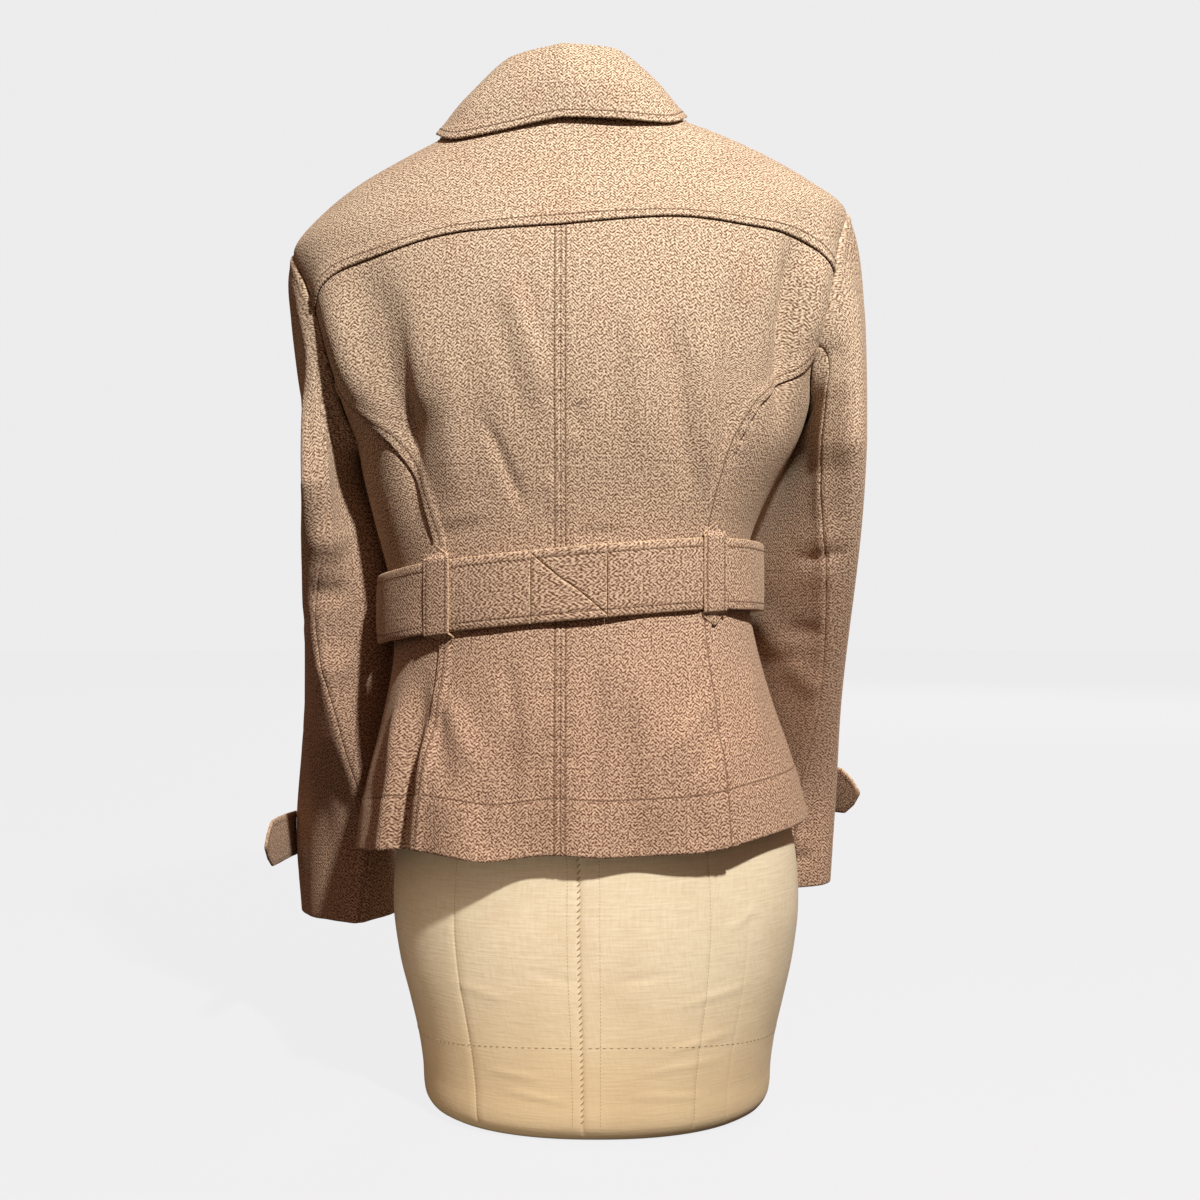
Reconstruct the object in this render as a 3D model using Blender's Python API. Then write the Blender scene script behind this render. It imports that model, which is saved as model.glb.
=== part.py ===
"""Belted tweed jacket on a limbless dress form. Metres, +Z up, base of the form on Z = 0.

The jacket's back faces -Y and its front faces +Y, so the wearer's left is -X. Heights in the
tables are those of a level jacket. The worn jacket hangs askew, so HANG_TILT lifts its right side.
"""
import math

import bmesh
import bpy
from mathutils import Vector

for old in list(bpy.data.objects):
    bpy.data.objects.remove(old)

# Shared sizes
CLOTH = 0.0018
BELT_CLOTH = 0.003
SEAM_GAP = 0.0003
HANG_TILT = 0.075
BODY_X = -0.0216
ROUNDNESS = 2.2
CENTRE_BACK = -0.0047
LEFT, RIGHT = -1, 1

# Jacket body: height, sideways shift, half width, depth to the back, depth to the front
BODY = [
    (0.205, 0.010, 0.1805, 0.1325, 0.1280),
    (0.257, 0.007, 0.1700, 0.1290, 0.1250),
    (0.301, 0.005, 0.1570, 0.1230, 0.1200),
    (0.331, 0.004, 0.1490, 0.1170, 0.1150),
    (0.360, 0.003, 0.1430, 0.1110, 0.1090),
    (0.385, 0.001, 0.1410, 0.1070, 0.1050),
    (0.410, 0.000, 0.1410, 0.1050, 0.1035),
    (0.434, -0.001, 0.1445, 0.1050, 0.1055),
    (0.468, 0.002, 0.1565, 0.1070, 0.1125),
    (0.505, 0.008, 0.1715, 0.1110, 0.1230),
    (0.534, 0.010, 0.1800, 0.1130, 0.1280),
    (0.557, 0.006, 0.1890, 0.1140, 0.1280),
    (0.585, 0.004, 0.1990, 0.1135, 0.1240),
    (0.620, 0.004, 0.2100, 0.1100, 0.1120),
    (0.655, 0.002, 0.2175, 0.1040, 0.0980),
    (0.688, 0.000, 0.2190, 0.0950, 0.0835),
    (0.711, -0.004, 0.1960, 0.0860, 0.0715),
    (0.733, -0.006, 0.1640, 0.0775, 0.0610),
    (0.752, -0.005, 0.1260, 0.0710, 0.0560),
    (0.7655, -0.005, 0.0930, 0.0665, 0.0555),
    (0.774, -0.004, 0.0725, 0.0630, 0.0560),
    (0.784, -0.004, 0.0660, 0.0610, 0.0570),
]
# Largest folds on the body: angle and height at both ends, half width as an angle, rise (+) or sink (-)
FOLDS = [
    (-41, 0.690, -46, 0.440, 6.5, -0.0075),
    (-57, 0.690, -55, 0.500, 8, 0.0110),
    (-32, 0.680, -33, 0.450, 7, 0.0030),
    (50, 0.690, 54, 0.500, 5.5, -0.0060),
    (62, 0.700, 62, 0.520, 8, 0.0060),
    (-38, 0.330, -26, 0.205, 10, 0.0075),
    (-14, 0.330, -9, 0.205, 7, -0.0045),
    (12, 0.345, 11, 0.205, 8, -0.0050),
    (30, 0.320, 34, 0.205, 11, 0.0060),
    (-62, 0.320, -58, 0.205, 10, -0.0060),
    (140, 0.310, 138, 0.205, 12, 0.0060),
    (-140, 0.320, -143, 0.205, 12, 0.0055),
]
# Hem: angle from the centre back, height
HEM = [(-200, 0.2115), (-110, 0.2125), (-80, 0.2145), (-60, 0.2190), (-41, 0.2225), (-29, 0.2185), (-20, 0.2140),
       (-5, 0.2155), (4, 0.2110), (17, 0.2090), (28, 0.2080), (41, 0.2105), (70, 0.2125), (110, 0.2120), (200, 0.2115)]
# Yoke seam: share of the way from the centre back to the armhole, height
YOKE_SEAM = [(0.0, 0.6725), (0.33, 0.6735), (0.47, 0.6718), (0.65, 0.6655), (0.84, 0.6580), (0.92, 0.6490),
             (1.0, 0.6323)]
# Side-back seam: height, distance from the body's centre, its shift to the right
SIDE_BACK_SEAM = [(0.205, 0.1180, 0.003), (0.260, 0.1130, 0.005), (0.310, 0.1070, 0.006), (0.360, 0.1010, 0.006),
                  (0.407, 0.0990, 0.006), (0.450, 0.1050, 0.005), (0.490, 0.1175, 0.004), (0.515, 0.1300, 0.003),
                  (0.544, 0.1500, 0.003), (0.562, 0.1660, 0.003), (0.577, 0.1800, 0.004)]
# Neck seam: angle from the centre back, height
NECK_SEAM = [(0, 0.7760), (60, 0.7755), (90, 0.7740), (125, 0.7700), (150, 0.7560), (163, 0.7360), (172, 0.7160),
             (180, 0.7030), (190, 0.6980)]
ARMHOLE_MIDDLE, ARMHOLE_HALF_HEIGHT = 0.6100, 0.0780
ARMHOLE_BACK_REACH, ARMHOLE_FRONT_REACH = 25.0, 33.0
SIDE_SEAM_ANGLE = 100.0
FRONT_LAP_ANGLE = 9.0
SIDE_ROWS = [0.0, 0.245, 0.280, 0.315, 0.345, 0.3695, 0.408, 0.4465, 0.475, 0.505, 0.535, 0.557, 0.577]

# Collar: neck seam angle, fold line's distance across, forward and height, outer edge's angle, height and
# distance off the body
COLLAR = [
    (0, 0.0000, -0.0600, 0.8170, 0, 0.7555, 0.0070),
    (50, 0.0400, -0.0470, 0.8140, 34, 0.7490, 0.0050),
    (70, 0.0530, -0.0270, 0.8095, 60, 0.7590, 0.0040),
    (90, 0.0625, -0.0040, 0.8025, 90, 0.7640, 0.0042),
    (130, 0.0575, 0.0340, 0.7820, 150, 0.7230, 0.0054),
    (160, 0.0430, 0.0590, 0.7530, 162, 0.6920, 0.0050),
    (177, 0.0075, 0.0795, 0.7130, 169, 0.6560, 0.0060),
]
COLLAR_ROLL = 0.011

# Sleeves: height, across, forward, long half axis, short half axis, turn of the long axis
SLEEVE = {
    LEFT: [(0.500, -0.1962, 0.010, 0.0720, 0.0225, 84), (0.400, -0.1890, 0.045, 0.0580, 0.0400, 80),
           (0.300, -0.1942, 0.066, 0.0560, 0.0420, 100), (0.215, -0.1983, 0.098, 0.0560, 0.0430, 120),
           (0.139, -0.1962, 0.104, 0.0550, 0.0440, 125)],
    RIGHT: [(0.500, 0.2045, 0.015, 0.0740, 0.0230, 78), (0.400, 0.1843, 0.038, 0.0680, 0.0270, 56),
            (0.300, 0.1788, 0.078, 0.0640, 0.0280, 51), (0.215, 0.1795, 0.107, 0.0620, 0.0290, 50),
            (0.138, 0.1775, 0.113, 0.0600, 0.0310, 52)],
}
# Twist of the sleeves' seams below the armhole: height, degrees
SLEEVE_TWIST = {
    LEFT: [(0.139, -9), (0.215, 4), (0.300, -16), (0.400, -37), (0.500, 7), (0.560, 4)],
    RIGHT: [(0.138, -19), (0.215, -19), (0.300, -36), (0.400, -24), (0.500, 13), (0.560, 5)],
}
SLEEVE_HEAD_STEPS = [0.0, 0.10, 0.25, 0.45, 0.70, 1.0]
SLEEVE_ARM_HEIGHTS = [0.460, 0.420, 0.380, 0.340, 0.300, 0.255, 0.215, 0.175, 0.139]
BACK_SEAM_COLUMN, FRONT_SEAM_COLUMN = 10, 18

# Belt: angle from the centre back, height, distance off the body
BELT = [(-180, 0.4040, 0.0080), (-130, 0.4010, 0.0090), (-90, 0.3990, 0.0105),
        (-60, 0.4030, 0.0060), (-40, 0.4060, 0.0042), (0, 0.4085, 0.0050), (45, 0.4085, 0.0042),
        (60, 0.4060, 0.0060), (90, 0.4020, 0.0105), (130, 0.4020, 0.0090), (180, 0.4040, 0.0080)]
BELT_HALF_HEIGHT = 0.0268
BLOCK_LEFT, BLOCK_RIGHT = -0.0255, 0.0285
BELT_END_ANGLE = 214.0
# Belt loop: distance above the belt's middle, half width, 0 on the jacket and 1 over the belt
LOOP = [(-0.0388, 0.0012, 0), (-0.0312, 0.0106, 0), (-0.0276, 0.0108, 1), (0.0, 0.0110, 1), (0.0276, 0.0108, 1),
        (0.0312, 0.0106, 0), (0.0388, 0.0012, 0)]

# Cuff tab: distance along it, half width
TAB = [(0.000, 0.0200), (0.020, 0.0203), (0.040, 0.0206), (0.058, 0.0200), (0.068, 0.0120), (0.0755, 0.0012)]
TAB_HEIGHT = {LEFT: 0.2080, RIGHT: 0.2160}

# Dress form: height, across, half width, depth to the back, depth to the front
FORM = [
    (0.0000, 0.0000, 0.1270, 0.0970, 0.0870),
    (0.0035, 0.0000, 0.1325, 0.1020, 0.0920),
    (0.0120, 0.0000, 0.1368, 0.1065, 0.0965),
    (0.0340, 0.0000, 0.1385, 0.1085, 0.0975),
    (0.0570, 0.0000, 0.1420, 0.1105, 0.0980),
    (0.0850, 0.0000, 0.1485, 0.1125, 0.0990),
    (0.1170, -0.0005, 0.1560, 0.1150, 0.1000),
    (0.1570, -0.0008, 0.1608, 0.1165, 0.1000),
    (0.2000, -0.0010, 0.1582, 0.1150, 0.0990),
    (0.2500, -0.0040, 0.1500, 0.1100, 0.0970),
    (0.3000, -0.0080, 0.1410, 0.1030, 0.0950),
    (0.3550, -0.0140, 0.1325, 0.0950, 0.0930),
    (0.4050, -0.0195, 0.1290, 0.0900, 0.0905),
    (0.4500, -0.0216, 0.1340, 0.0910, 0.0960),
    (0.5050, -0.0166, 0.1500, 0.0970, 0.1100),
    (0.5450, -0.0156, 0.1600, 0.1000, 0.1150),
    (0.6000, -0.0176, 0.1680, 0.0990, 0.1060),
    (0.6500, -0.0196, 0.1740, 0.0930, 0.0920),
    (0.6900, -0.0220, 0.1760, 0.0850, 0.0760),
    (0.7080, -0.0245, 0.1740, 0.0805, 0.0690),
]
FORM_SHOULDER_HEIGHTS = [0.728, 0.737, 0.746, 0.755, 0.762]
FORM_NECK = [(0.7680, -0.0256, 0.0600, 0.0560, 0.0490), (0.780, -0.0256, 0.0560, 0.0520, 0.0480),
             (0.800, -0.0256, 0.0545, 0.0505, 0.0475)]
FORM_REST_GAP = 0.0023
FORM_FRONT_SINK = 0.0032
FORM_COLUMNS = 40
NECK_CAP_THICKNESS = 0.005

# Front buttons: height, how far each is pressed into the lapped front's own curve
BUTTONS = [(0.640, -0.0001), (0.582, 0.0006), (0.524, -0.0003), (0.466, -0.0007)]
BUTTON_RADIUS, BUTTON_THICKNESS = 0.0100, 0.0040
BUCKLE_HALF_WIDTH, BUCKLE_HALF_HEIGHT, BUCKLE_BAR = 0.0230, 0.0325, 0.0050


def read_table(table, place):
    """The other columns of a table at a place in its first one, along a smooth curve."""
    count = len(table)
    place = min(max(place, table[0][0]), table[-1][0])
    row = max(index for index in range(count - 1) if table[index][0] <= place)
    start, stop = table[row], table[row + 1]
    before, after = table[max(row - 1, 0)], table[min(row + 2, count - 1)]
    length = stop[0] - start[0]
    share = (place - start[0]) / length
    values = []
    for column in range(1, len(start)):
        leave = (stop[column] - before[column]) / (stop[0] - before[0]) * length
        arrive = (after[column] - start[column]) / (after[0] - start[0]) * length
        drop = start[column] - stop[column]
        values.append(start[column] + share * (leave + share * (
            -3 * drop - 2 * leave - arrive + share * (2 * drop + leave + arrive))))
    return values if len(values) > 1 else values[0]


def smooth(low, high, value):
    share = min(max((value - low) / (high - low), 0.0), 1.0)
    return share * share * (3 - 2 * share)


def blend(start, stop, share):
    return start + (stop - start) * share


def spread(start, stop, count):
    """Evenly spaced values, both ends among them."""
    return [blend(start, stop, index / count) for index in range(count + 1)]


def ring_point(across, half_width, back, front, angle):
    """Point of one body section. Angle 0 is the centre back, 90 the right side, 180 the centre front."""
    turn = math.radians(angle)
    side, rear = math.sin(turn), math.cos(turn)
    depth = back if rear > 0 else front
    return (across + half_width * math.copysign(abs(side) ** (2 / ROUNDNESS), side),
            -depth * math.copysign(abs(rear) ** (2 / ROUNDNESS), rear))


def bare_body(angle, height):
    across, forward = ring_point(*read_table(BODY, height), angle)
    return Vector((BODY_X + across, forward, height))


def body_normal(angle, height):
    step = 0.4
    along = bare_body(angle + step, height) - bare_body(angle - step, height)
    upward = bare_body(angle, min(height + 0.0015, 0.784)) - bare_body(angle, height - 0.0015)
    return along.cross(upward).normalized()


def fold_rise(angle, height):
    """How far the largest folds push the cloth out at this place."""
    rise = 0.0
    for top_angle, top_height, low_angle, low_height, half_width, size in FOLDS:
        share = (top_height - height) / (top_height - low_height)
        if share < 0 or height < low_height - 0.05:
            continue
        middle = blend(top_angle, low_angle, share)
        fade = smooth(0.0, 0.45, share)
        if low_height > 0.3:
            fade *= 1 - smooth(0.55, 1.0, share)
        rise += size * fade * math.exp(-((angle - middle) / half_width) ** 2)
    return rise


def hang(point):
    """The jacket hangs askew: its right side is higher."""
    return Vector((point.x, point.y, point.z + HANG_TILT * (point.x - BODY_X)))


def body(angle, height, out=0.0, folds=True):
    """Point on the jacket's body, moved out from its outer face."""
    rise = fold_rise(angle, height) if folds else 0.0
    return hang(bare_body(angle, height) + body_normal(angle, height) * (out + rise))


def angle_at(across, height):
    """Angle on the back half where the body is this far from the body's centre line."""
    shift, half_width, back, front = read_table(BODY, height)
    ratio = min(abs(across - shift) / half_width, 1.0)
    return math.copysign(math.degrees(math.asin(ratio ** (ROUNDNESS / 2))), across - shift)


def hem_height(angle):
    return read_table(HEM, angle)


def centre_back(height):
    return (angle_at(CENTRE_BACK, height), height)


def armhole(side, turn):
    """Angle and height on the body at a place round the armhole: 0 at the shoulder, 90 at the back."""
    across = math.sin(math.radians(turn))
    reach = ARMHOLE_BACK_REACH if across > 0 else ARMHOLE_FRONT_REACH
    return (side * (90 - reach * across), ARMHOLE_MIDDLE + ARMHOLE_HALF_HEIGHT * math.cos(math.radians(turn)))


def armhole_turn(height):
    return math.degrees(math.acos((height - ARMHOLE_MIDDLE) / ARMHOLE_HALF_HEIGHT))


YOKE_TURN = armhole_turn(YOKE_SEAM[-1][1])
SIDE_BACK_TURN = armhole_turn(SIDE_ROWS[-1])
SIDE_SEAM_TURN = 180 + math.degrees(math.asin((SIDE_SEAM_ANGLE - 90) / ARMHOLE_FRONT_REACH))
YOKE_ARMHOLE = [YOKE_TURN * share for share in (0, 0.10, 0.22, 0.37, 0.55, 0.76, 1)]
BACK_ARMHOLE = spread(YOKE_TURN, SIDE_BACK_TURN, 4)
SIDE_ARMHOLE = spread(SIDE_BACK_TURN, SIDE_SEAM_TURN, 6)
FRONT_ARMHOLE = [blend(SIDE_SEAM_TURN, 360, share) for share in (0, 0.17, 0.34, 0.51, 0.67, 0.81, 0.92, 1)]
ARMHOLE_TURNS = YOKE_ARMHOLE + BACK_ARMHOLE[1:] + SIDE_ARMHOLE[1:] + FRONT_ARMHOLE[1:-1]


def side_back_seam(side, height):
    """Seam from the hem to the armhole, meeting the armhole's own point at its top."""
    if height > SIDE_ROWS[-1] - 1e-6:
        return armhole(side, SIDE_BACK_TURN)
    across, shift = read_table(SIDE_BACK_SEAM, height)
    angle = angle_at(side * across + shift, height)
    top = armhole(side, SIDE_BACK_TURN)[0]
    return (blend(angle, top, smooth(0.530, 0.577, height)), height)


def yoke_seam(side, share):
    height = read_table(YOKE_SEAM, share)
    start = CENTRE_BACK
    stop_angle = armhole(side, YOKE_TURN)[0]
    shift, half_width, back, front = read_table(BODY, height)
    stop = shift + half_width * side * abs(math.sin(math.radians(stop_angle))) ** (2 / ROUNDNESS)
    if share > 0.999:
        return (stop_angle, YOKE_SEAM[-1][1])
    return (angle_at(blend(start, stop, share), height), height)


def from_hem(line, heights):
    """Points of a line on the body at rising heights, the first of them on the hem."""
    foot = line(0.215)
    low = hem_height(foot[0])
    return [line(low)] + [line(height) for height in heights[1:]]


def fill(bottom, top, left, right):
    """Places inside four edges, each a row of angles and heights."""
    columns, rows = len(bottom) - 1, len(left) - 1
    grid = []
    for row in range(rows + 1):
        up = row / rows
        line = []
        for column in range(columns + 1):
            over = column / columns
            place = []
            for axis in (0, 1):
                sides = blend(left[row][axis], right[row][axis], over)
                ends = blend(bottom[column][axis], top[column][axis], up)
                corners = blend(blend(bottom[0][axis], bottom[-1][axis], over),
                                blend(top[0][axis], top[-1][axis], over), up)
                place.append(sides + ends - corners)
            line.append(tuple(place))
        grid.append(line)
    return grid


def draw_in(grid, amount):
    """The same places with the outermost ones moved in by half a seam gap."""
    rows, columns = len(grid) - 1, len(grid[0]) - 1
    drawn = [list(line) for line in grid]
    for row in range(rows + 1):
        for column in range(columns + 1):
            inner_row = min(max(row, 1), rows - 1)
            inner_column = min(max(column, 1), columns - 1)
            angle, height = grid[row][column]
            here = bare_body(angle, height)
            for step_row, step_column in ((inner_row, column), (row, inner_column)):
                if (step_row, step_column) == (row, column):
                    continue
                toward = grid[step_row][step_column]
                length = (bare_body(*toward) - here).length
                angle += (toward[0] - grid[row][column][0]) * amount / length
                height += (toward[1] - grid[row][column][1]) * amount / length
            drawn[row][column] = (angle, height)
    return drawn


jacket = bpy.data.collections.new("belted_jacket_on_form")
bpy.context.scene.collection.children.link(jacket)


def material_of(name, colour, roughness):
    made = bpy.data.materials.new(name)
    made.use_nodes = True
    surface = made.node_tree.nodes["Principled BSDF"]
    surface.inputs["Base Color"].default_value = (*colour, 1.0)
    surface.inputs["Roughness"].default_value = roughness
    return made


TWEED = (0.42, 0.27, 0.17)
CANVAS = (0.72, 0.60, 0.40)
HORN = (0.10, 0.05, 0.03)


def place(name, mesh_data, colour, roughness=0.9):
    mesh = bpy.data.meshes.new(name)
    bmesh.ops.recalc_face_normals(mesh_data, faces=mesh_data.faces)
    mesh_data.to_mesh(mesh)
    mesh_data.free()
    piece = bpy.data.objects.new(name, mesh)
    piece.data.materials.append(material_of(name, colour, roughness))
    jacket.objects.link(piece)
    return piece


def cloth(name, outer, inner, colour=TWEED):
    """Closed wall of cloth lofted between the grids of its outer and inner faces."""
    rows, columns = len(outer) - 1, len(outer[0]) - 1
    wall = bmesh.new()
    front = [[wall.verts.new(point) for point in line] for line in outer]
    back = [[wall.verts.new(point) for point in line] for line in inner]
    for row in range(rows):
        for column in range(columns):
            for face, order in ((front, 1), (back, -1)):
                corners = [face[row][column], face[row][column + 1], face[row + 1][column + 1],
                           face[row + 1][column]]
                wall.faces.new(corners[::order])
    for row in range(rows):
        for column in (0, columns):
            wall.faces.new([front[row][column], front[row + 1][column], back[row + 1][column], back[row][column]])
    for column in range(columns):
        for row in (0, rows):
            wall.faces.new([front[row][column], front[row][column + 1], back[row][column + 1], back[row][column]])
    return place(name, wall, colour)


def panel(name, grid, out=lambda angle, height: 0.0):
    """Body panel: a wall of cloth over a grid of angles and heights."""
    drawn = draw_in(grid, SEAM_GAP * 0.6)
    outer = [[body(angle, height, out(angle, height)) for angle, height in line] for line in drawn]
    inner = [[body(angle, height, out(angle, height) - CLOTH) for angle, height in line] for line in drawn]
    return cloth(name, outer, inner)


# Backs, from the centre back seam to the side-back seam and armhole, and up to the yoke
BACK_COLUMNS = 8
BACK_TOP_ROWS = len(BACK_ARMHOLE) - 1


def side_edge(side):
    seam = from_hem(lambda height: side_back_seam(side, height), SIDE_ROWS)
    return seam + [armhole(side, turn) for turn in BACK_ARMHOLE[-2::-1]]


def centre_edge():
    low_rows = SIDE_ROWS[:8]
    high_rows = spread(low_rows[-1], YOKE_SEAM[0][1], len(SIDE_ROWS) + BACK_TOP_ROWS - len(low_rows))
    return from_hem(centre_back, low_rows + high_rows[1:])


for side, name in ((LEFT, "back_left"), (RIGHT, "back_right")):
    middle, outside = centre_edge(), side_edge(side)
    hem_angles = spread(middle[0][0], outside[0][0], BACK_COLUMNS)
    hem = [(angle, hem_height(angle)) for angle in hem_angles]
    top = [yoke_seam(side, share) for share in spread(0, 1, BACK_COLUMNS)]
    panel(name, fill(hem, top, middle, outside))

# Side panels, from the side-back seam to the side seam, under the armhole
SIDE_COLUMNS = len(SIDE_ARMHOLE) - 1


def side_seam(side):
    foot = hem_height(side * SIDE_SEAM_ANGLE)
    head = armhole(side, SIDE_SEAM_TURN)
    shares = [(height - SIDE_ROWS[1]) / (SIDE_ROWS[-1] - SIDE_ROWS[1]) for height in SIDE_ROWS]
    low = SIDE_ROWS[1]
    heights = [foot] + [blend(low, head[1], share) for share in shares[1:]]
    return [(side * SIDE_SEAM_ANGLE, height) for height in heights]


for side, name in ((LEFT, "side_left"), (RIGHT, "side_right")):
    inside, outside = side_edge(side)[:len(SIDE_ROWS)], side_seam(side)
    hem_angles = spread(inside[0][0], outside[0][0], SIDE_COLUMNS)
    hem = [(angle, hem_height(angle)) for angle in hem_angles]
    top = [armhole(side, turn) for turn in SIDE_ARMHOLE]
    panel(name, fill(hem, top, inside, outside))

# Fronts, from the side seam to the front edge; the right one laps over the left one
SHOULDER_STEPS = 4
NECK_BACK_STEPS = BACK_COLUMNS - SHOULDER_STEPS
NECK_FRONT_ANGLES = [90, 115, 137, 155, 167, 177]
SHOULDER_HEIGHTS = spread(ARMHOLE_MIDDLE + ARMHOLE_HALF_HEIGHT, NECK_SEAM[2][1], SHOULDER_STEPS)
LAP_RISE = CLOTH + 0.0016


def lap(angle, height):
    return LAP_RISE * smooth(180 - FRONT_LAP_ANGLE - 16, 180 - FRONT_LAP_ANGLE - 3, angle)


for side, name in ((LEFT, "front_left"), (RIGHT, "front_right")):
    edge_angle = 180 + (FRONT_LAP_ANGLE if side == RIGHT else FRONT_LAP_ANGLE * 0.55)
    outside = side_seam(side) + [armhole(side, turn) for turn in FRONT_ARMHOLE[1:]]
    across = spread(SIDE_SEAM_ANGLE, edge_angle, SHOULDER_STEPS + len(NECK_FRONT_ANGLES))
    hem = [(side * angle, hem_height(side * angle)) for angle in across]
    shoulder = [(side * 90, height) for height in SHOULDER_HEIGHTS]
    neck = [(side * angle, read_table(NECK_SEAM, angle)) for angle in NECK_FRONT_ANGLES + [edge_angle]]
    edge_heights = SIDE_ROWS[1:8] + spread(SIDE_ROWS[7], neck[-1][1], len(outside) - 8)[1:]
    edge = [hem[-1]] + [(side * edge_angle, height) for height in edge_heights]
    chest_row = len(SIDE_ROWS) - 1
    chest = [(side * angle, blend(outside[chest_row][1], edge[chest_row][1], index / (len(across) - 1)))
             for index, angle in enumerate(across)]
    skirt = fill(hem, chest, outside[:chest_row + 1], edge[:chest_row + 1])
    bodice = fill(chest, shoulder + neck[1:], outside[chest_row:], edge[chest_row:])
    panel(name, skirt + bodice[1:], lap if side == RIGHT else lambda angle, height: 0.0)

# Yoke, from its seam up to the neck and over to the shoulder seams

def yoke_half(side):
    low = [yoke_seam(side, share) for share in spread(0, 1, BACK_COLUMNS)]
    neck = [(side * angle, read_table(NECK_SEAM, angle)) for angle in spread(0, 90, NECK_BACK_STEPS)]
    shoulder = [(side * 90, height) for height in SHOULDER_HEIGHTS[::-1]]
    return low, neck + shoulder[1:]


left_low, left_high = yoke_half(LEFT)
right_low, right_high = yoke_half(RIGHT)
yoke_low = left_low[:0:-1] + right_low
yoke_high = left_high[:0:-1] + right_high
yoke_left = [armhole(LEFT, turn) for turn in YOKE_ARMHOLE[::-1]]
yoke_right = [armhole(RIGHT, turn) for turn in YOKE_ARMHOLE[::-1]]
panel("yoke", fill(yoke_low, yoke_high, yoke_left, yoke_right))

# Collar: the stand rises from the neck seam to the fold line, and the fall turns down from it
RIGHT_COLLAR_ANGLES = spread(0, 90, NECK_BACK_STEPS) + NECK_FRONT_ANGLES[1:]
COLLAR_ANGLES = [-angle for angle in RIGHT_COLLAR_ANGLES[:0:-1]] + RIGHT_COLLAR_ANGLES


def collar_row(angle):
    side = 1 if angle >= 0 else -1
    across, forward, height, edge_angle, edge_height, lift = read_table(COLLAR, abs(angle))
    centre = BODY_X + read_table(BODY, 0.774)[0]
    fold = hang(Vector((centre + side * across, forward, height)))
    foot = body(angle, read_table(NECK_SEAM, abs(angle)), 0.0, False)
    edge = body(side * edge_angle, edge_height, lift + CLOTH, False)
    outward = Vector((side * across, forward, 0)).normalized()
    return foot, fold, edge, outward


def neck_frame(angle):
    """Normal of the body at the neck seam and the direction from the seam into the neck."""
    places = [(turn, read_table(NECK_SEAM, abs(turn))) for turn in (angle - 1, angle, angle + 1)]
    normal = body_normal(*places[1])
    along = bare_body(*places[2]) - bare_body(*places[0])
    return normal, normal.cross(along).normalized()


def stand_point(angle, up):
    foot, fold, edge, outward = collar_row(angle)
    low = foot + neck_frame(angle)[1] * SEAM_GAP
    return low.lerp(fold, up)


def fall_point(angle, down):
    foot, fold, edge, outward = collar_row(angle)
    start = fold + outward * SEAM_GAP + Vector((0, 0, CLOTH))
    roll = COLLAR_ROLL * (1 - 0.55 * smooth(25, 90, abs(angle)))
    bend = start + (edge - start) * 0.18 + outward * roll
    return start * (1 - down) ** 2 + bend * 2 * down * (1 - down) + edge * down ** 2


def surface_wall(name, surface, columns, rows, thickness, flip=1, normal_at=None):
    """Wall under a surface of two parameters, its thickness taken along the surface's own normal."""
    outer, inner = [], []
    for row in rows:
        outer_line, inner_line = [], []
        for column in columns:
            point = surface(column, row)
            low_column, high_column = max(column - 1e-3, columns[0]), min(column + 1e-3, columns[-1])
            low_row, high_row = max(row - 1e-3, rows[0]), min(row + 1e-3, rows[-1])
            along = surface(high_column, row) - surface(low_column, row)
            upward = surface(column, high_row) - surface(column, low_row)
            normal = normal_at(column, row) if normal_at else None
            if normal is None:
                normal = along.cross(upward).normalized() * flip
            outer_line.append(point)
            inner_line.append(point - normal * thickness)
        outer.append(outer_line)
        inner.append(inner_line)
    return cloth(name, outer, inner)


surface_wall("collar_stand", stand_point, COLLAR_ANGLES, [0, 0.4, 1], CLOTH, 1,
             lambda angle, up: neck_frame(angle)[0] if up == 0 else None)
surface_wall("collar_fall", fall_point, COLLAR_ANGLES, [0, 0.2, 0.45, 0.72, 1], CLOTH, -1,
             lambda angle, down: Vector((0, 0, 1)) if down == 0 else None)


# Sleeves: a head that springs from the armhole, then flattened sections down to the cuff
def armhole_frame(side, turn):
    """Point on the armhole, the body's normal there and the direction into the armhole."""
    angle, height = armhole(side, turn)
    normal = body_normal(angle, height)
    before, after = bare_body(*armhole(side, turn - 1)), bare_body(*armhole(side, turn + 1))
    inward = (after - before).cross(normal).normalized() * side
    centre = bare_body(side * 90, ARMHOLE_MIDDLE)
    point = bare_body(angle, height) + normal * fold_rise(angle, height)
    if inward.dot(centre - point) < 0:
        inward = -inward
    return point, normal, inward


def sleeve_section(side, turn, height):
    across, forward, long_half, short_half, axis_turn = read_table(
        [row for row in reversed(SLEEVE[side])], height)
    axis = math.radians(axis_turn)
    long_axis = Vector((-side * math.cos(axis), math.sin(axis), 0))
    short_axis = Vector((-side * math.sin(axis), -math.cos(axis), 0))
    place_round = math.radians(turn + read_table(SLEEVE_TWIST[side], height)) - axis
    centre = Vector((BODY_X + across, forward, height))
    return (centre - long_axis * long_half * math.cos(place_round)
            + short_axis * short_half * math.sin(place_round))


def head_lean(turn):
    """Angle at which the sleeve leaves the body's own surface."""
    low = (1 - math.cos(math.radians(turn))) / 2
    at_front = math.sin(math.radians(turn)) < 0
    fold_over = 112 * low ** 2.2 if at_front else 112 * low ** 3.5
    return math.radians(8 + 22 * math.sin(math.radians(turn)) ** 2 + fold_over)


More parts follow.
